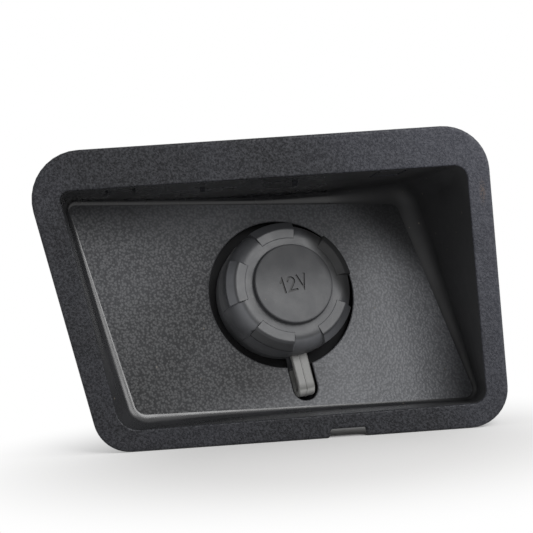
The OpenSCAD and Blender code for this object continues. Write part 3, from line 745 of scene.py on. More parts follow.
def grip_rubber():
    """Rubber of the cap and its anchor ring."""
    return finish("grip_rubber", rubber_finish("rubber", 8.15))


def strap_rubber():
    """Rubber of the strap, with painted light where it bends down."""
    return finish("strap_rubber", rubber_finish("strap", -0.1))


def satin_finish(graph):
    """Satin black plastic of the housings."""
    where = graph.coordinates()
    colours = bpy.context.scene.socket_finishes
    cloud = graph.noise(where, 6.0, 3.0)
    fine = graph.noise(where, 0.4, 2.0)
    shade = graph.mix(cloud, scaled(colours.housing, 0.7), scaled(colours.housing, 1.4))
    front = graph.along(where, FACING).step(-16 * MM, -9 * MM)
    return {"Base Color": shade, "Roughness": cloud.step(0.3, 0.7, 0.34, 0.46) + 0.5 * front,
            "Specular IOR Level": 0.3, "Normal": graph.bump(fine, 0.01)}


def metal_finish(colour_name, low, high):
    """A function that makes a metal finish of one of the colours, between two roughness values."""
    def make(graph):
        where = graph.coordinates()
        colour = getattr(bpy.context.scene.socket_finishes, colour_name)
        cloud = graph.noise(where, 3.0, 4.0, 0.6)
        fine = graph.noise(where, 0.25, 2.0)
        shade = graph.mix(cloud, scaled(colour, 0.8), scaled(colour, 1.1))
        return {"Base Color": shade, "Metallic": 1.0, "Roughness": cloud.step(0.3, 0.7, low, high),
                "Normal": graph.bump(fine, 0.004)}
    return make


def board_finish(graph):
    """Brown pressed board with fine fibres."""
    where = graph.coordinates()
    colours = bpy.context.scene.socket_finishes
    fibres = graph.noise(where, 0.4, 4.0, 0.7)
    shade = graph.mix(fibres, scaled(colours.board, 0.6), scaled(colours.board, 1.4))
    return {"Base Color": shade, "Roughness": 0.7, "Normal": graph.bump(fibres, 0.02)}


def place(thing, body, node):
    """Lets a piece ride on a body in the place of a node."""
    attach(thing, body)
    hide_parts(node)


class SOCKET_OT_panel(bpy.types.Operator):
    """Build the moulded trim panel with its pocket, snap tongues, hooks and screw bosses"""

    bl_idname = "socket.panel"
    bl_label = "Trim panel"
    bl_options = {"REGISTER", "UNDO"}

    FLANGE, WALL, FLOOR, EDGE = 0, 1, 2, 3

    # The pocket's mouth and the flat part of its floor: corners from the top left, clockwise, in millimetres
    MOUTH_ROUNDS = (2.3, 3.4, 3.2, 6.0)
    FOOT_CORNERS = ((-54.8, 27.8), (35.2, 21.6), (49.2, -33.0), (-43.9, -29.0))
    FOOT_ROUNDS = (1.5, 2.5, 2.4, 3.2)
    CORNER_STEPS, SIDE_STEPS = 14, 20

    # Radius between wall and floor at each corner, in millimetres
    FILLETS = (1.2, 4.6, 1.2, 4.4)

    # Places right of the socket's axis in millimetres, with the tongues' leans in degrees
    TONGUES = ((-41.2, 0.0), (29.0, -11.0))
    HOOKS = (-24.0, 28.0)
    GUSSETS = (-20.0, 4.0)

    # Directions of the screw bosses round the axis, in degrees
    BOSSES = (90, 210, 330)

    # Round of the small fixings' edges, and the flat band beside a rounded edge
    SOFT = 0.2 * MM
    SUPPORT = 0.3 * MM

    def execute(self, context):
        self.sizes = context.scene.socket_panel
        self.lay_out()
        skin = Skin()
        self.add_flange(skin)
        self.add_pocket(skin)
        materials = [finish("flange_plastic", flange_finish), finish("wall_plastic", wall_finish),
                     finish("floor_plastic", floor_finish), finish("edge_plastic", edge_shade_finish)]
        panel = skin.build("trim_panel_skin", materials)
        combine(panel, self.slits(), "DIFFERENCE")
        combine(panel, self.fixings(), "UNION")
        smooth(panel)
        place(panel, PANEL_BODY, "trim_panel")
        return {"FINISHED"}

    def lay_out(self):
        """Works out the outlines and levels that the steps share."""
        p = self.sizes
        self.top = p.axis_from_top
        self.bottom = self.top - p.flange_height
        self.seat = -p.floor_depth
        self.front = self.seat - p.flange_thickness
        self.behind = self.seat - p.rim_height
        self.flange = self.flange_outline()
        self.opening = self.opening_outline()
        self.foot = self.foot_outline()

    def left_at(self, z):
        """The flange's left edge at a height."""
        p = self.sizes
        return p.axis_from_right - p.flange_width + (self.top - z) * math.tan(p.left_lean)

    def right_at(self, z):
        """The flange's right edge at a height."""
        return self.sizes.axis_from_right + (self.top - z) * math.tan(self.sizes.right_lean)

    def flange_outline(self):
        """The flange's edge with the notch."""
        p = self.sizes
        half = p.notch_width / 2
        inner = self.bottom + p.notch_depth
        slant_right, slant_left = 0.4 * MM, 0.2 * MM
        corners = [(self.left_at(self.top), self.top), (self.right_at(self.top), self.top),
                   (self.right_at(self.bottom), self.bottom),
                   (p.notch_place + half + slant_right, self.bottom), (p.notch_place + half, inner),
                   (p.notch_place - half, inner), (p.notch_place - half - slant_left, self.bottom),
                   (self.left_at(self.bottom), self.bottom)]
        radii = [p.corner_top_left, p.corner_top_right, p.corner_low_right, p.notch_lip, p.notch_round,
                 p.notch_round, p.notch_lip, p.corner_low_left]
        return Outline(corners, radii)

    def opening_outline(self):
        """The pocket's mouth in the flange."""
        p = self.sizes
        top = self.top - p.border_top
        low_left = self.bottom + p.border_low_left
        low_right = self.bottom + p.border_low_right
        corners = [(self.left_at(top) + p.border_left_top, top), (self.right_at(top) - p.border_right, top),
                   (self.right_at(low_right) - p.border_right, low_right),
                   (self.left_at(low_left) + p.border_left_low, low_left)]
        radii = [radius * MM for radius in self.MOUTH_ROUNDS]
        return Outline(corners, radii, self.CORNER_STEPS, self.SIDE_STEPS)

    def foot_outline(self):
        """The flat part of the pocket floor, in floor coordinates."""
        corners = [(x * MM, y * MM) for x, y in self.FOOT_CORNERS]
        radii = [radius * MM for radius in self.FOOT_ROUNDS]
        return Outline(corners, radii, self.CORNER_STEPS, self.SIDE_STEPS)

    @staticmethod
    def upright(point, y):
        """A point of an outline at a depth."""
        return np.array((point[0], y, point[1]))

    def flange_ring(self, skin, distance, y):
        """The flange's edge moved inward, at a depth."""
        return skin.ring([self.upright(point, y) for point in self.flange.inset(distance).points])

    def add_flange(self, skin):
        """The flange's rounded edge and its back rim."""
        p = self.sizes
        steps, chamfer, slope = 6, 0.2 * MM, 0.05 * MM
        rings = [self.flange_ring(skin, p.edge_round + self.SUPPORT, self.front)]
        for step in range(steps + 1):
            angle = math.pi / 2 * step / steps
            distance = p.edge_round * (1 - math.sin(angle))
            rings.append(self.flange_ring(skin, distance, self.front + p.edge_round * (1 - math.cos(angle))))
        rings.append(self.flange_ring(skin, 0, self.seat - chamfer))
        rings.append(self.flange_ring(skin, chamfer, self.seat))
        rings.append(self.flange_ring(skin, p.rim_width, self.seat))
        rings.append(self.flange_ring(skin, p.rim_width + slope, self.behind))
        skin.loft(rings[:-3], self.FLANGE)
        skin.loft(rings[-4:], self.WALL)
        self.front_ring = rings[0]
        self.back_ring = rings[-1]

    def section(self, i):
        """The pocket's section at one point of its mouth."""
        p = self.sizes
        corner = int(self.opening.places[i])
        # Along the top and bottom sides the rounding changes late
        power = 3 if corner % 2 == 0 else 1
        share = (self.opening.places[i] - corner) ** power
        radius = blend(self.FILLETS[corner], self.FILLETS[(corner + 1) % len(self.FILLETS)], share) * MM
        spot = self.foot.points[i]
        centre = on_floor(spot[0], spot[1], radius)
        edge = self.upright(self.opening.points[i], self.front)
        outward = self.upright(self.opening.normals[i], 0.0)
        across = float(np.dot(edge - centre, outward))
        along = float(np.dot(edge - centre, REARWARD))
        reach = math.hypot(across, along)
        angle = math.atan2(along, across) + math.acos(radius / reach)
        normal = math.cos(angle) * outward + math.sin(angle) * REARWARD
        foot = centre + radius * normal
        room = room_inside(np.array((foot[0], foot[2])), self.shell_limit)
        return {"edge": edge, "outward": outward, "centre": centre, "radius": radius, "normal": normal,
                "foot": foot, "down": unit(foot - edge), "wall": min(p.wall, room)}

    def add_pocket(self, skin):
        """The pocket's inside, floor and outside."""
        p = self.sizes
        clear = 0.1 * MM
        self.shell_limit = np.array(self.flange.inset(p.rim_width + clear).points)
        sections = [self.section(i) for i in range(len(self.opening.points))]
        mouth = self.add_mouth(skin, sections)
        skin.fill(self.front_ring, [mouth[0]], PANEL_RIGHT, PANEL_UP, self.FLANGE)
        wall_steps, fillet_steps = 4, 9
        walls = [mouth[-1]]
        for step in range(1, wall_steps + 1):
            walls.append(skin.ring([blend(cut["start"], cut["foot"], step / wall_steps) for cut in sections]))
        for step in range(1, fillet_steps + 1):
            share = step / fillet_steps
            walls.append(skin.ring([cut["centre"] + cut["radius"] * between(cut["normal"], -FACING, share)
                                    for cut in sections]))
        skin.loft(walls, self.WALL)
        outside = []
        for step in range(fillet_steps + 1):
            share = step / fillet_steps
            outside.append(skin.ring([cut["centre"] + (cut["radius"] + blend(p.wall, cut["wall"], share))
                                      * between(-FACING, cut["normal"], share) for cut in sections]))
        outside.append(skin.ring([self.behind_flange(cut) for cut in sections]))
        skin.loft(outside, self.WALL)
        skin.fill(self.back_ring, [outside[-1]], PANEL_RIGHT, PANEL_UP, self.WALL)
        self.add_keyhole(skin, walls[-1], outside[0])

    def behind_flange(self, cut):
        """Where the outside of a pocket wall meets the flange's back."""
        start = cut["centre"] + (cut["radius"] + cut["wall"]) * cut["normal"]
        return start + cut["down"] * (self.behind - start[1]) / cut["down"][1]

    def add_mouth(self, skin, sections):
        """Rings of the rounded edge between the flange and the pocket walls."""
        steps = 5
        size = self.sizes.opening_round
        rows = [[] for _ in range(steps + 2)]
        for cut in sections:
            half = math.acos(float(np.dot(cut["outward"], cut["down"]))) / 2
            reach = size / math.tan(half)
            centre = cut["edge"] + unit(cut["outward"] + cut["down"]) * size / math.sin(half)
            first = unit(cut["edge"] + cut["outward"] * reach - centre)
            cut["start"] = cut["edge"] + cut["down"] * reach
            last = unit(cut["start"] - centre)
            rows[0].append(cut["edge"] + cut["outward"] * (reach + self.SUPPORT))
            for step in range(steps + 1):
                rows[step + 1].append(centre + size * between(first, last, step / steps))
        rings = [skin.ring(row) for row in rows]
        skin.loft(rings, self.FLANGE)
        return rings

    def keyhole(self, grow):
        """The hole and slot in the floor, in floor coordinates, grown by a distance."""
        p = self.sizes
        angle = bpy.context.scene.socket_cap.strap_angle
        radius, half = p.keyhole_radius + grow, p.slot_half + grow
        opening = math.asin(half / radius)
        hole_steps, slot_steps = 120, 24
        points = []
        for step in range(hole_steps + 1):
            at = blend(opening, 2 * math.pi - opening, step / hole_steps)
            points.append((radius * math.cos(at), radius * math.sin(at)))
        for step in range(slot_steps + 1):
            at = blend(-math.pi / 2, math.pi / 2, step / slot_steps)
            points.append((p.slot_end - p.slot_half + half * math.cos(at), half * math.sin(at)))
        spin = Matrix.Rotation(angle, 2)
        shift = Vector((-p.keyhole_left, -p.keyhole_down))
        return [spin @ Vector(point) + shift for point in points]

    def keyhole_ring(self, skin, grow, s):
        """The keyhole's edge grown by a distance, at a height along the socket's axis."""
        return skin.ring([on_floor(x, y, s) for x, y in self.keyhole(grow)])

    def add_keyhole(self, skin, front_edge, back_edge):
        """The floor's two flat faces and the edge of the hole between them."""
        wall = self.sizes.wall
        size, steps, chamfer = 0.35 * MM, 4, 0.2 * MM
        rings = [self.keyhole_ring(skin, size + self.SUPPORT, 0.0)]
        for step in range(steps + 1):
            angle = math.pi / 2 * step / steps
            rings.append(self.keyhole_ring(skin, size * (1 - math.sin(angle)), -size * (1 - math.cos(angle))))
        skin.loft(rings, self.FLOOR)
        edge = [rings[-1], self.keyhole_ring(skin, 0, chamfer - wall),
                self.keyhole_ring(skin, chamfer, -wall)]
        skin.loft(edge, self.EDGE)
        skin.fill(front_edge, [rings[0]], RIGHTWARD, UPWARD, self.FLOOR)
        skin.fill(back_edge, [edge[-1]], RIGHTWARD, UPWARD, self.WALL)

    def fixings(self):
        """All that stands out behind the panel."""
        things = self.catches() + self.hooks() + self.gussets()
        return things + [self.boss(math.radians(direction)) for direction in self.BOSSES]

    def catches(self):
        """Catches on the snap tongues, which hold the trim sheet from behind."""
        p = self.sizes
        top = self.top - p.border_top
        play, rise, land = 0.4 * MM, 1.3 * MM, 1 * MM
        back, ramp = self.seat + p.sheet + play, 0.6 * p.tongue_length
        crest = top + p.wall + rise
        profile = [(back, top), (back, crest), (back + land, crest), (back + ramp, top - 1 * MM),
                   (back + ramp, top - 2 * MM)]
        half = p.tongue_width / 2 - p.slit
        return [prism("catch", profile, x - half, x + half, lean, self.seat, self.SOFT)
                for x, lean in self.tongues()]

    def hooks(self):
        """Hooks below the pocket, which reach behind the trim sheet."""
        p = self.sizes
        low = self.bottom + min(p.border_low_left, p.border_low_right)
        root, under, foot = low - 0.5 * MM, low - p.wall - 0.2 * MM, low - p.wall - 1.8 * MM
        start, rear = self.seat - 0.6 * MM, self.seat + p.sheet
        profile = [(start, root), (start, under), (rear, under), (rear, foot), (rear + 1.6 * MM, foot),
                   (rear + 6 * MM, root)]
        half = p.hook_width / 2
        return [prism("hook", profile, x * MM - half, x * MM + half, soften=self.SOFT) for x in self.HOOKS]

    def gussets(self):
        """Thin gussets between the flange's back and the pocket's top wall."""
        p = self.sizes
        top = self.top - p.border_top
        front, rear = self.behind - 0.1 * MM, self.seat + 8 * MM
        profile = [(front, top + 1 * MM), (front, self.top - 2 * MM), (rear, top - 2 * MM),
                   (rear, top - 3 * MM)]
        half = p.gusset_width / 2
        return [prism("gusset", profile, x * MM - half, x * MM + half, soften=self.SOFT)
                for x in self.GUSSETS]

    def tongues(self):
        """Places and leans of the snap tongues."""
        return [(x * MM, math.radians(lean)) for x, lean in self.TONGUES]

    def boss(self, angle):
        """A screw boss with its pilot hole."""
        p = self.sizes
        end = -p.wall - p.standoff
        bore, soft = p.pilot_radius, 0.3 * MM
        profile = [(bore, end), (p.boss_radius - soft, end), (p.boss_radius, end + soft),
                   (p.boss_radius, -p.wall / 2), (bore, -p.wall / 2)]
        skin = Skin()
        skin.revolve(profile, 48, round_axis(p.screw_circle, angle, 0.0))
        return skin.build("boss", [])

    def slit_profile(self, depth):
        """The side of a cutter that starts at the seat and goes back by a depth."""
        p = self.sizes
        low = self.top - p.border_top - 0.6 * p.tongue_length
        high = low + p.border_top + 4 * MM
        start = self.seat + 0.2 * MM
        return [(start, low), (start + depth, low), (start + depth, high), (start, high)]

    def slits(self):
        """Cutters for the slits that free the snap tongues."""
        p = self.sizes
        front, side = self.slit_profile(p.slit), self.slit_profile(p.tongue_length)
        half, reach = p.tongue_width / 2, p.slit / 2
        cutters = []
        for x, lean in self.tongues():
            cutters.append(prism("slit", front, x - half, x + half, lean, self.seat))
            for at in (x - half, x + half):
                cutters.append(prism("slit", side, at - reach, at + reach, lean, self.seat))
        return cutters


class SOCKET_OT_cap(bpy.types.Operator):
    """Build the rubber cap with its grip lugs and its voltage mark"""

    bl_idname = "socket.cap"
    bl_label = "Cap"
    bl_options = {"REGISTER", "UNDO"}

    # Place of the strokes' material in the cap's list
    GROOVE = 1

    # Steps in degrees beside a lug's side, where the section changes
    CLOSE = (-0.9, -0.6, -0.45, -0.3, -0.15, 0, 0.15, 0.3, 0.45, 0.6, 0.9)

    # Height of the straight skirt, up to where the shoulders and lugs begin
    SKIRT = 0.6 * MM

    def execute(self, context):
        self.sizes = context.scene.socket_cap
        skin = Skin()
        angles = self.directions()
        rings = [skin.ring([round_axis(radius, angle, s) for radius, s in self.profile(self.weight(angle))])
                 for angle in angles]
        skin.loft(rings + rings[:1], closed=False)
        disc = [ring[0] for ring in rings]
        inside_ring = [ring[-1] for ring in rings]
        skin.fill(inside_ring, [], RIGHTWARD, UPWARD)
        self.add_mark(skin, disc)
        # The strokes of the voltage mark get painted shade
        cap = skin.build("cap_skin", [grip_rubber(), finish("groove_rubber", groove_shade_finish)])
        smooth(cap, 50)
        place(cap, CAP_BODY, "cap")
        return {"FINISHED"}

    def edges(self):
        """Directions of the lugs' two sides."""
        c = self.sizes
        for i in range(c.lug_count):
            middle = c.lug_start + 2 * math.pi * i / c.lug_count
            yield middle - c.lug_arc / 2, middle + c.lug_arc / 2

    def directions(self):
        """Directions round the cap, closer together at the lugs' sides."""
        close = [math.radians(step) for step in self.CLOSE]
        coarse = math.radians(1.5)
        angles = []
        sides = [side for pair in self.edges() for side in pair]
        sides.append(sides[0] + 2 * math.pi)
        for side, after in zip(sides, sides[1:]):
            angles.extend(side + step for step in close)
            start, stop = side + close[-1], after + close[0]
            count = max(2, round((stop - start) / coarse))
            angles.extend(blend(start, stop, i / count) for i in range(1, count))
        return angles

    def weight(self, angle):
        """How far the cap stands out as a lug in a direction, from 0 to 1."""
        soft = math.radians(0.5)
        best = 0.0
        for first, last in self.edges():
            middle = (first + last) / 2
            off = abs((angle - middle + math.pi) % (2 * math.pi) - math.pi)
            best = max(best, ease(((last - first) / 2 + soft - off) / (2 * soft)))
        return best

    def profile(self, weight):
        """Points of the cap's section from the disc over the outside to the inside's middle."""
        c = self.sizes
        annulus = c.face - c.disc_step
        bottom = -c.lower_edge
        brow, hollow, shoulder_start = 0.4 * MM, 0.35 * MM, 12.6 * MM
        disc = [(c.disc_radius - 0.8 * MM, c.face), (c.disc_radius - 0.45 * MM, c.face)]
        disc += [(c.disc_radius + brow * (math.sin(a) - 1), c.face + brow * (math.cos(a) - 1))
                 for a in np.linspace(0, math.pi / 2, 5)[1:]]
        disc += [(c.disc_radius + hollow * (1 - math.sin(a)), annulus + hollow * (1 - math.cos(a)))
                 for a in np.linspace(math.pi / 2, 0, 5)]
        disc += [(c.disc_radius + 1.2 * MM, annulus), (shoulder_start, annulus)]
        outside = [(blend(a[0], b[0], weight), blend(a[1], b[1], weight))
                   for a, b in zip(self.shoulder(annulus), self.lug(annulus))]
        rim = blend(c.radius - 0.15 * MM, c.radius, weight)
        soft = 0.3 * MM
        edge = [(rim - soft * (1 - math.cos(a)), bottom + soft * (1 - math.sin(a)))
                for a in np.linspace(0, math.pi / 2, 4)]
        ceiling, well, well_ceiling, middle = 6.9 * MM, 8.6 * MM, 8.2 * MM, 0.5 * MM
        inner = [(c.bore + soft, bottom), (c.bore, bottom + soft), (c.bore, 4.5 * MM),
                 (c.bore - 0.3 * MM, 5.7 * MM), (c.bore - 1 * MM, ceiling), (well, ceiling),
                 (well, well_ceiling), (middle, well_ceiling)]
        return disc + outside + edge + inner

    def shoulder(self, annulus):
        """The rounded shoulder between the lugs."""
        steps = 17
        foot, top, rim = 2.2 * MM, 13.2 * MM, self.sizes.radius - 0.15 * MM
        points = [(top + (rim - top) * math.sin(a), foot + (annulus - foot) * math.cos(a))
                  for a in np.linspace(0, math.pi / 2, steps)]
        return points + [(rim, self.SKIRT)]

    def lug(self, annulus):
        """A lug's flat top, chamfer and side, with as many points as the shoulder."""
        rim, proud, chamfer, soft = self.sizes.radius, 0.12 * MM, 2.2 * MM, 0.3 * MM
        face = annulus + proud
        corners = [(12.62 * MM, annulus), (12.75 * MM, face), (rim - chamfer, face), (rim, face - chamfer),
                   (rim, self.SKIRT)]
        points = [corners[0]]
        for before, at, after in zip(corners, corners[1:], corners[2:]):
            before, at, after = np.array(before), np.array(at), np.array(after)
            reach = min(soft, np.linalg.norm(before - at) / 2, np.linalg.norm(after - at) / 2)
            for share in (0.0, 0.25, 0.5, 0.75, 1.0):
                first = at + unit(before - at) * reach * (1 - share)
                last = at + unit(after - at) * reach * share
                points.append(tuple(blend(first, last, share)))
        return [points[0], *points[1:11], points[10], *points[11:16], corners[-1]]

    def add_mark(self, skin, disc):
        """The disc's flat face with the strokes of the voltage mark sunk into it."""
        c = self.sizes
        holes = []
        taper = 0.1 * MM
        for path in self.strokes():
            edge = skin.ring([on_floor(x, y, c.face) for x, y in ribbon(path, c.letter_stroke)])
            ground = skin.ring([on_floor(x, y, c.face - c.letter_depth)
                                for x, y in ribbon(path, c.letter_stroke - taper)])
            skin.bridge(edge, ground, self.GROOVE)
            skin.fill(ground, [], RIGHTWARD, UPWARD, self.GROOVE)
            holes.append(edge)
        skin.fill(disc, holes, RIGHTWARD, UPWARD)

    def strokes(self):
        """Centre lines of the figures 1 and 2 and the letter V, in floor coordinates."""
        c = self.sizes
        h = c.letter_height
        one = [(-1.02, 0.30), (-0.84, 0.5), (-0.84, -0.5)]
        bow = [(0.27 * math.cos(a), 0.24 + 0.26 * math.sin(a))
               for a in np.radians((170, 145, 115, 90, 60, 30, 5, -20, -40))]
        two = [(x - 0.20, y) for x, y in bow] + [(-0.50, -0.5), (0.10, -0.5)]
        vee = [(0.36, 0.5), (0.66, -0.5), (0.96, 0.5)]
        spin = Matrix.Rotation(c.letter_turn, 2)
        return [[spin @ Vector((x * h, y * h)) for x, y in path] for path in (one, two, vee)]


def ribbon(path, width):
    """The closed outline of a path drawn with a width."""
    points = [np.array(point[:]) for point in path]
    half = width / 2
    left, right = [], []
    for i, point in enumerate(points):
        before = unit(point - points[i - 1]) if i else None
        after = unit(points[i + 1] - point) if i + 1 < len(points) else None
        ahead = unit(before + after) if i and after is not None else (after if before is None else before)
        bend = float(np.dot(ahead, before)) if before is not None else 1.0
        side = np.array((-ahead[1], ahead[0])) * half / max(bend, 0.35)
        tip = ahead * half * ((i + 1 == len(points)) - (i == 0))
        left.append(point + side + tip)
        right.append(point - side + tip)
    return left + right[::-1]


class SOCKET_OT_strap(bpy.types.Operator):
    """Build the strap with its loop round the bend, and its anchor ring"""

    bl_idname = "socket.strap"
    bl_label = "Strap"
    bl_options = {"REGISTER", "UNDO"}

    def execute(self, context):
        c = self.sizes = context.scene.socket_cap
        joint = next(joint for joint in frame["joints"] if joint["child"] == CAP_BODY)
        root = np.array(joint["pos_m"])
        along = round_axis(1.0, c.strap_angle, 0.0)
        loop = self.band(self.loop_path()).build("cap_strap_loop", [strap_rubber()])
        smooth(loop, 50)
        tuple(root + along * 1.6 * MM)
        tuple(root - along * 0.6 * MM)
        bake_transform(loop)
        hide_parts("cap_strap")
        ring = self.ring_skin().build("cap_strap_ring", [grip_rubber()])
        smooth(ring, 50)
        place(ring, PANEL_BODY, "cap_strap")
        return {"FINISHED"}

    def section(self):
        """The strap's section: rounded edges, and a fine mould seam along its middle."""
        c = self.sizes
        half, thick, soft = c.strap_width / 2, c.strap_thickness / 2, 0.45 * MM
        seam, proud = 0.22 * MM, 0.14 * MM
        arc = [(half - soft * (1 - math.sin(a)), thick - soft * (1 - math.cos(a)))
               for a in np.linspace(0, math.pi / 2, 5)]
        low = [(x, -y) for x, y in reversed(arc)]
        side = [(seam / 2, thick + proud), (seam, thick), (seam * 1.5, thick)] + arc + low
        return side + [(-x, y) for x, y in reversed(side)]

    def loop_path(self):
        """Places and directions along the strap: out from the cap, round the bend and back under."""
        c = self.sizes
        bend = (c.strap_drop - c.strap_thickness) / 2
        far = c.strap_reach - c.strap_drop / 2
        level = -c.strap_thickness / 2
        near, end = 15.9 * MM, 19.8 * MM
        path = [((x, level), 0.0) for x in np.linspace(near, far, 22)]
        for angle in np.linspace(0, math.pi, 17)[1:]:
            path.append(((far + bend * math.sin(angle), level - bend * (1 - math.cos(angle))), angle))
        path += [((x, level - 2 * bend), math.pi) for x in (far - 1.5 * MM, end)]
        return path

    def band(self, path, skin=None):
        """A closed band swept along places in the strap's own plane."""
        angle = self.sizes.strap_angle
        out = round_axis(1.0, angle, 0.0)
        across = np.cross(FACING, out)
        skin = skin or Skin()
        rings = []
        for (r, s), lean in path:
            up = math.cos(lean) * FACING + math.sin(lean) * out
            rings.append(skin.ring([r * out + s * FACING + x * across + y * up for x, y in self.section()]))
        skin.loft(rings)
        skin.face(rings[0])
        skin.face(rings[-1])
        return skin

    def ring_skin(self):
        """The anchor ring below the cap, with the strap's lower leg."""
        c = self.sizes
        inner, outer, low, high, soft = 14.6 * MM, 16.9 * MM, -6.3 * MM, -1.9 * MM, 0.3 * MM
        leg = (16.2 * MM, 18 * MM, 20.4 * MM)
        profile = [(inner + soft, low), (outer - soft, low), (outer, low + soft), (outer, high - soft),
                   (outer - soft, high), (inner + soft, high), (inner, high - soft), (inner, low + soft)]
        skin = Skin()
        skin.revolve(profile, 144)
        level = -c.strap_drop + c.strap_thickness / 2
        self.band([((x, level), 0.0) for x in leg], skin)
        return skin


class SOCKET_OT_housing(bpy.types.Operator):
    """Dress the moulded housing and the connector's cover"""

    bl_idname = "socket.housing"
    bl_label = "Housing"
    bl_options = {"REGISTER", "UNDO"}

    def execute(self, context):
        dress(("socket_housing", "connector_housing"), finish("satin_plastic", satin_finish))
        return {"FINISHED"}


class SOCKET_OT_contacts(bpy.types.Operator):
    """Dress the barrel, contacts, terminals and insulators"""

    bl_idname = "socket.contacts"
    bl_label = "Barrel and contacts"
    bl_options = {"REGISTER", "UNDO"}

    def execute(self, context):
        dress(("barrel", "centre_contact", "contact_rivet", "rivet_washer", "earth_rivet"),
              finish("nickel_plate", metal_finish("plated", 0.22, 0.36)))
        dress(("positive_terminal", "negative_terminal", "contact_spring"),
              finish("rolled_brass", metal_finish("brass", 0.25, 0.4)))
        dress(("base_insulator", "rear_insulator"), finish("pressed_board", board_finish))
        return {"FINISHED"}


class SOCKET_OT_screws(bpy.types.Operator):
    """Dress the three housing screws"""

    bl_idname = "socket.screws"
    bl_label = "Screws"
    bl_options = {"REGISTER", "UNDO"}

    def execute(self, context):
        dress(("screw_1", "screw_2", "screw_3"), finish("zinc_plate", metal_finish("zinc", 0.3, 0.45)))
        return {"FINISHED"}


def dress(nodes, material):
    """Gives nodes of the frame a material."""
    for name in nodes:
        thing = frame["nodes"][name]
        thing.data.materials.clear()
        thing.data.materials.append(material)


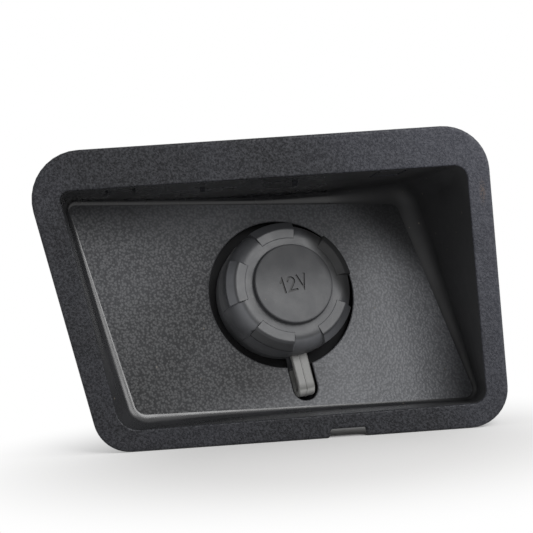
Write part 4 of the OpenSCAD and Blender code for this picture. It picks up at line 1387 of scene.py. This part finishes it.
class SOCKET_OT_stage(bpy.types.Operator):
    """Set up the floor, the lamps, the background and the camera"""

    bl_idname = "socket.stage"
    bl_label = "Stage"
    bl_options = {"REGISTER", "UNDO"}

    # Places of the lamps and the widths of their squares, in metres
    KEY_PLACE, KEY_SIZE = (0.24, -0.56, 0.34), 0.32
    SIDE_PLACE, SIDE_SIZE = (0.70, -0.35, 0.42), 0.4

    # Half the floor's width in metres, and its gap below the part
    FLOOR_REACH = 3.0
    FLOOR_GAP = 0.05 * MM

    def execute(self, context):
        self.look = context.scene.socket_studio
        context.scene.view_settings.view_transform = "Standard"
        self.add_camera(context)
        self.add_lamps()
        self.add_floor()
        self.add_world(context)
        return {"FINISHED"}

    def add_camera(self, context):
        """The camera, turned round its target and rolled."""
        look = self.look
        target = Vector((look.target_x, look.target_y, look.target_z))
        back = Vector((math.sin(look.azimuth) * math.cos(look.elevation),
                       -math.cos(look.azimuth) * math.cos(look.elevation), math.sin(look.elevation)))
        right = Vector((0, 0, 1)).cross(back).normalized()
        up = back.cross(right)
        spin = Matrix.Rotation(look.roll, 3, back)
        right, up = spin @ right, spin @ up
        data = bpy.data.cameras.new("camera")
        data.lens = look.lens
        data.sensor_width = 36.0
        data.clip_start = 0.01
        camera = bpy.data.objects.new("camera", data)
        camera.matrix_world = Matrix((right, up, back)).transposed().to_4x4()
        camera.location = target + back * look.distance
        context.scene.collection.objects.link(camera)
        context.scene.camera = camera

    def add_lamps(self):
        """Two soft lamps, one in front and one at the side, both to the upper right."""
        self.lamp("key", self.KEY_PLACE, self.KEY_SIZE, self.look.key)
        self.lamp("side", self.SIDE_PLACE, self.SIDE_SIZE, self.look.side)

    @staticmethod
    def lamp(name, spot, size, power):
        """A square soft lamp that points at the part."""
        data = bpy.data.lights.new(name, "AREA")
        data.size = size
        data.energy = power
        lamp = bpy.data.objects.new(name, data)
        lamp.location = spot
        lamp.rotation_euler = Vector(spot).to_track_quat("Z", "Y").to_euler()
        bpy.context.scene.collection.objects.link(lamp)

    def add_floor(self):
        """A pale floor under the part, which turns plain white away from it."""
        look = self.look
        reach = self.FLOOR_REACH
        level = cad_box[0][2] - self.FLOOR_GAP
        mesh = bpy.data.meshes.new("studio_floor")
        mesh.from_pydata([(-reach, -reach, level), (reach, -reach, level), (reach, reach, level),
                          (-reach, reach, level)], [], [(0, 1, 2, 3)])
        floor = bpy.data.objects.new("studio_floor", mesh)
        bpy.context.scene.collection.objects.link(floor)
        material = bpy.data.materials.new("studio_floor")
        graph = Graph(material)
        scale, shift = (11.0, 9.0, 0.0), (-0.05, 0.5, 0.0)
        away = graph.distance(graph.coordinates(), scale, shift)
        share = background_ray(graph) * away.step(0.3, 1.15, look.floor_lift, 1.0)
        paint = graph.add("BsdfDiffuse", {}, {"Color": colour4(look.floor)})
        white = graph.add("Emission", {}, {"Color": (1, 1, 1, 1), "Strength": 1.0})
        both = graph.add("MixShader", {}, {0: share, 1: paint, 2: white})
        graph.add("OutputMaterial", {}, {"Surface": both})
        mesh.materials.append(material)

    def add_world(self, context):
        """Even light, with a white background where the camera and reflections see it."""
        world = bpy.data.worlds.new("studio")
        context.scene.world = world
        graph = Graph(world)
        light = graph.add("Background", {}, {"Color": (1, 1, 1, 1), "Strength": self.look.world})
        white = graph.add("Background", {}, {"Color": (1, 1, 1, 1), "Strength": 1.0})
        both = graph.add("MixShader", {}, {0: background_ray(graph), 1: light, 2: white})
        graph.add("OutputWorld", {}, {"Surface": both})


def background_ray(graph):
    """1 where the camera, a reflection or a transmission sees a surface, otherwise 0."""
    path = graph.add("LightPath")
    total = path.out("Is Camera Ray") + path.out("Is Glossy Ray") + path.out("Is Transmission Ray")
    return total.math("MINIMUM", 1.0)


class SOCKET_PT_sidebar(bpy.types.Panel):
    """The socket's operators and sizes"""

    bl_idname = "SOCKET_PT_sidebar"
    bl_label = "12 V socket"
    bl_space_type = "VIEW_3D"
    bl_region_type = "UI"
    bl_category = "Socket"

    def draw(self, context):
        layout = self.layout
        for operator in OPERATORS:
            layout.operator(operator.bl_idname)
        for name, group in SETTINGS.items():
            box = layout.box()
            box.label(text=group.__doc__)
            values = getattr(context.scene, name)
            for key in group.__annotations__:
                box.prop(values, key)


SETTINGS = {"socket_panel": PanelSizes, "socket_cap": CapSizes, "socket_finishes": Finishes,
            "socket_studio": Studio}
OPERATORS = (SOCKET_OT_panel, SOCKET_OT_cap, SOCKET_OT_strap, SOCKET_OT_housing, SOCKET_OT_contacts,
             SOCKET_OT_screws, SOCKET_OT_stage)
CLASSES = (*SETTINGS.values(), *OPERATORS, SOCKET_PT_sidebar)


def register():
    """Registers the classes and hangs the settings on the scene."""
    for item in CLASSES:
        bpy.utils.register_class(item)
    for name, group in SETTINGS.items():
        setattr(bpy.types.Scene, name, PointerProperty(type=group))


def unregister():
    """Takes the settings and the classes away again."""
    for name in SETTINGS:
        delattr(bpy.types.Scene, name)
    for item in reversed(CLASSES):
        bpy.utils.unregister_class(item)


def main():
    """Builds all the pieces and the stage."""
    register()
    bpy.ops.socket.panel()
    bpy.ops.socket.cap()
    bpy.ops.socket.strap()
    bpy.ops.socket.housing()
    bpy.ops.socket.contacts()
    bpy.ops.socket.screws()
    bpy.ops.socket.stage()


if __name__ == "__main__":
    main()
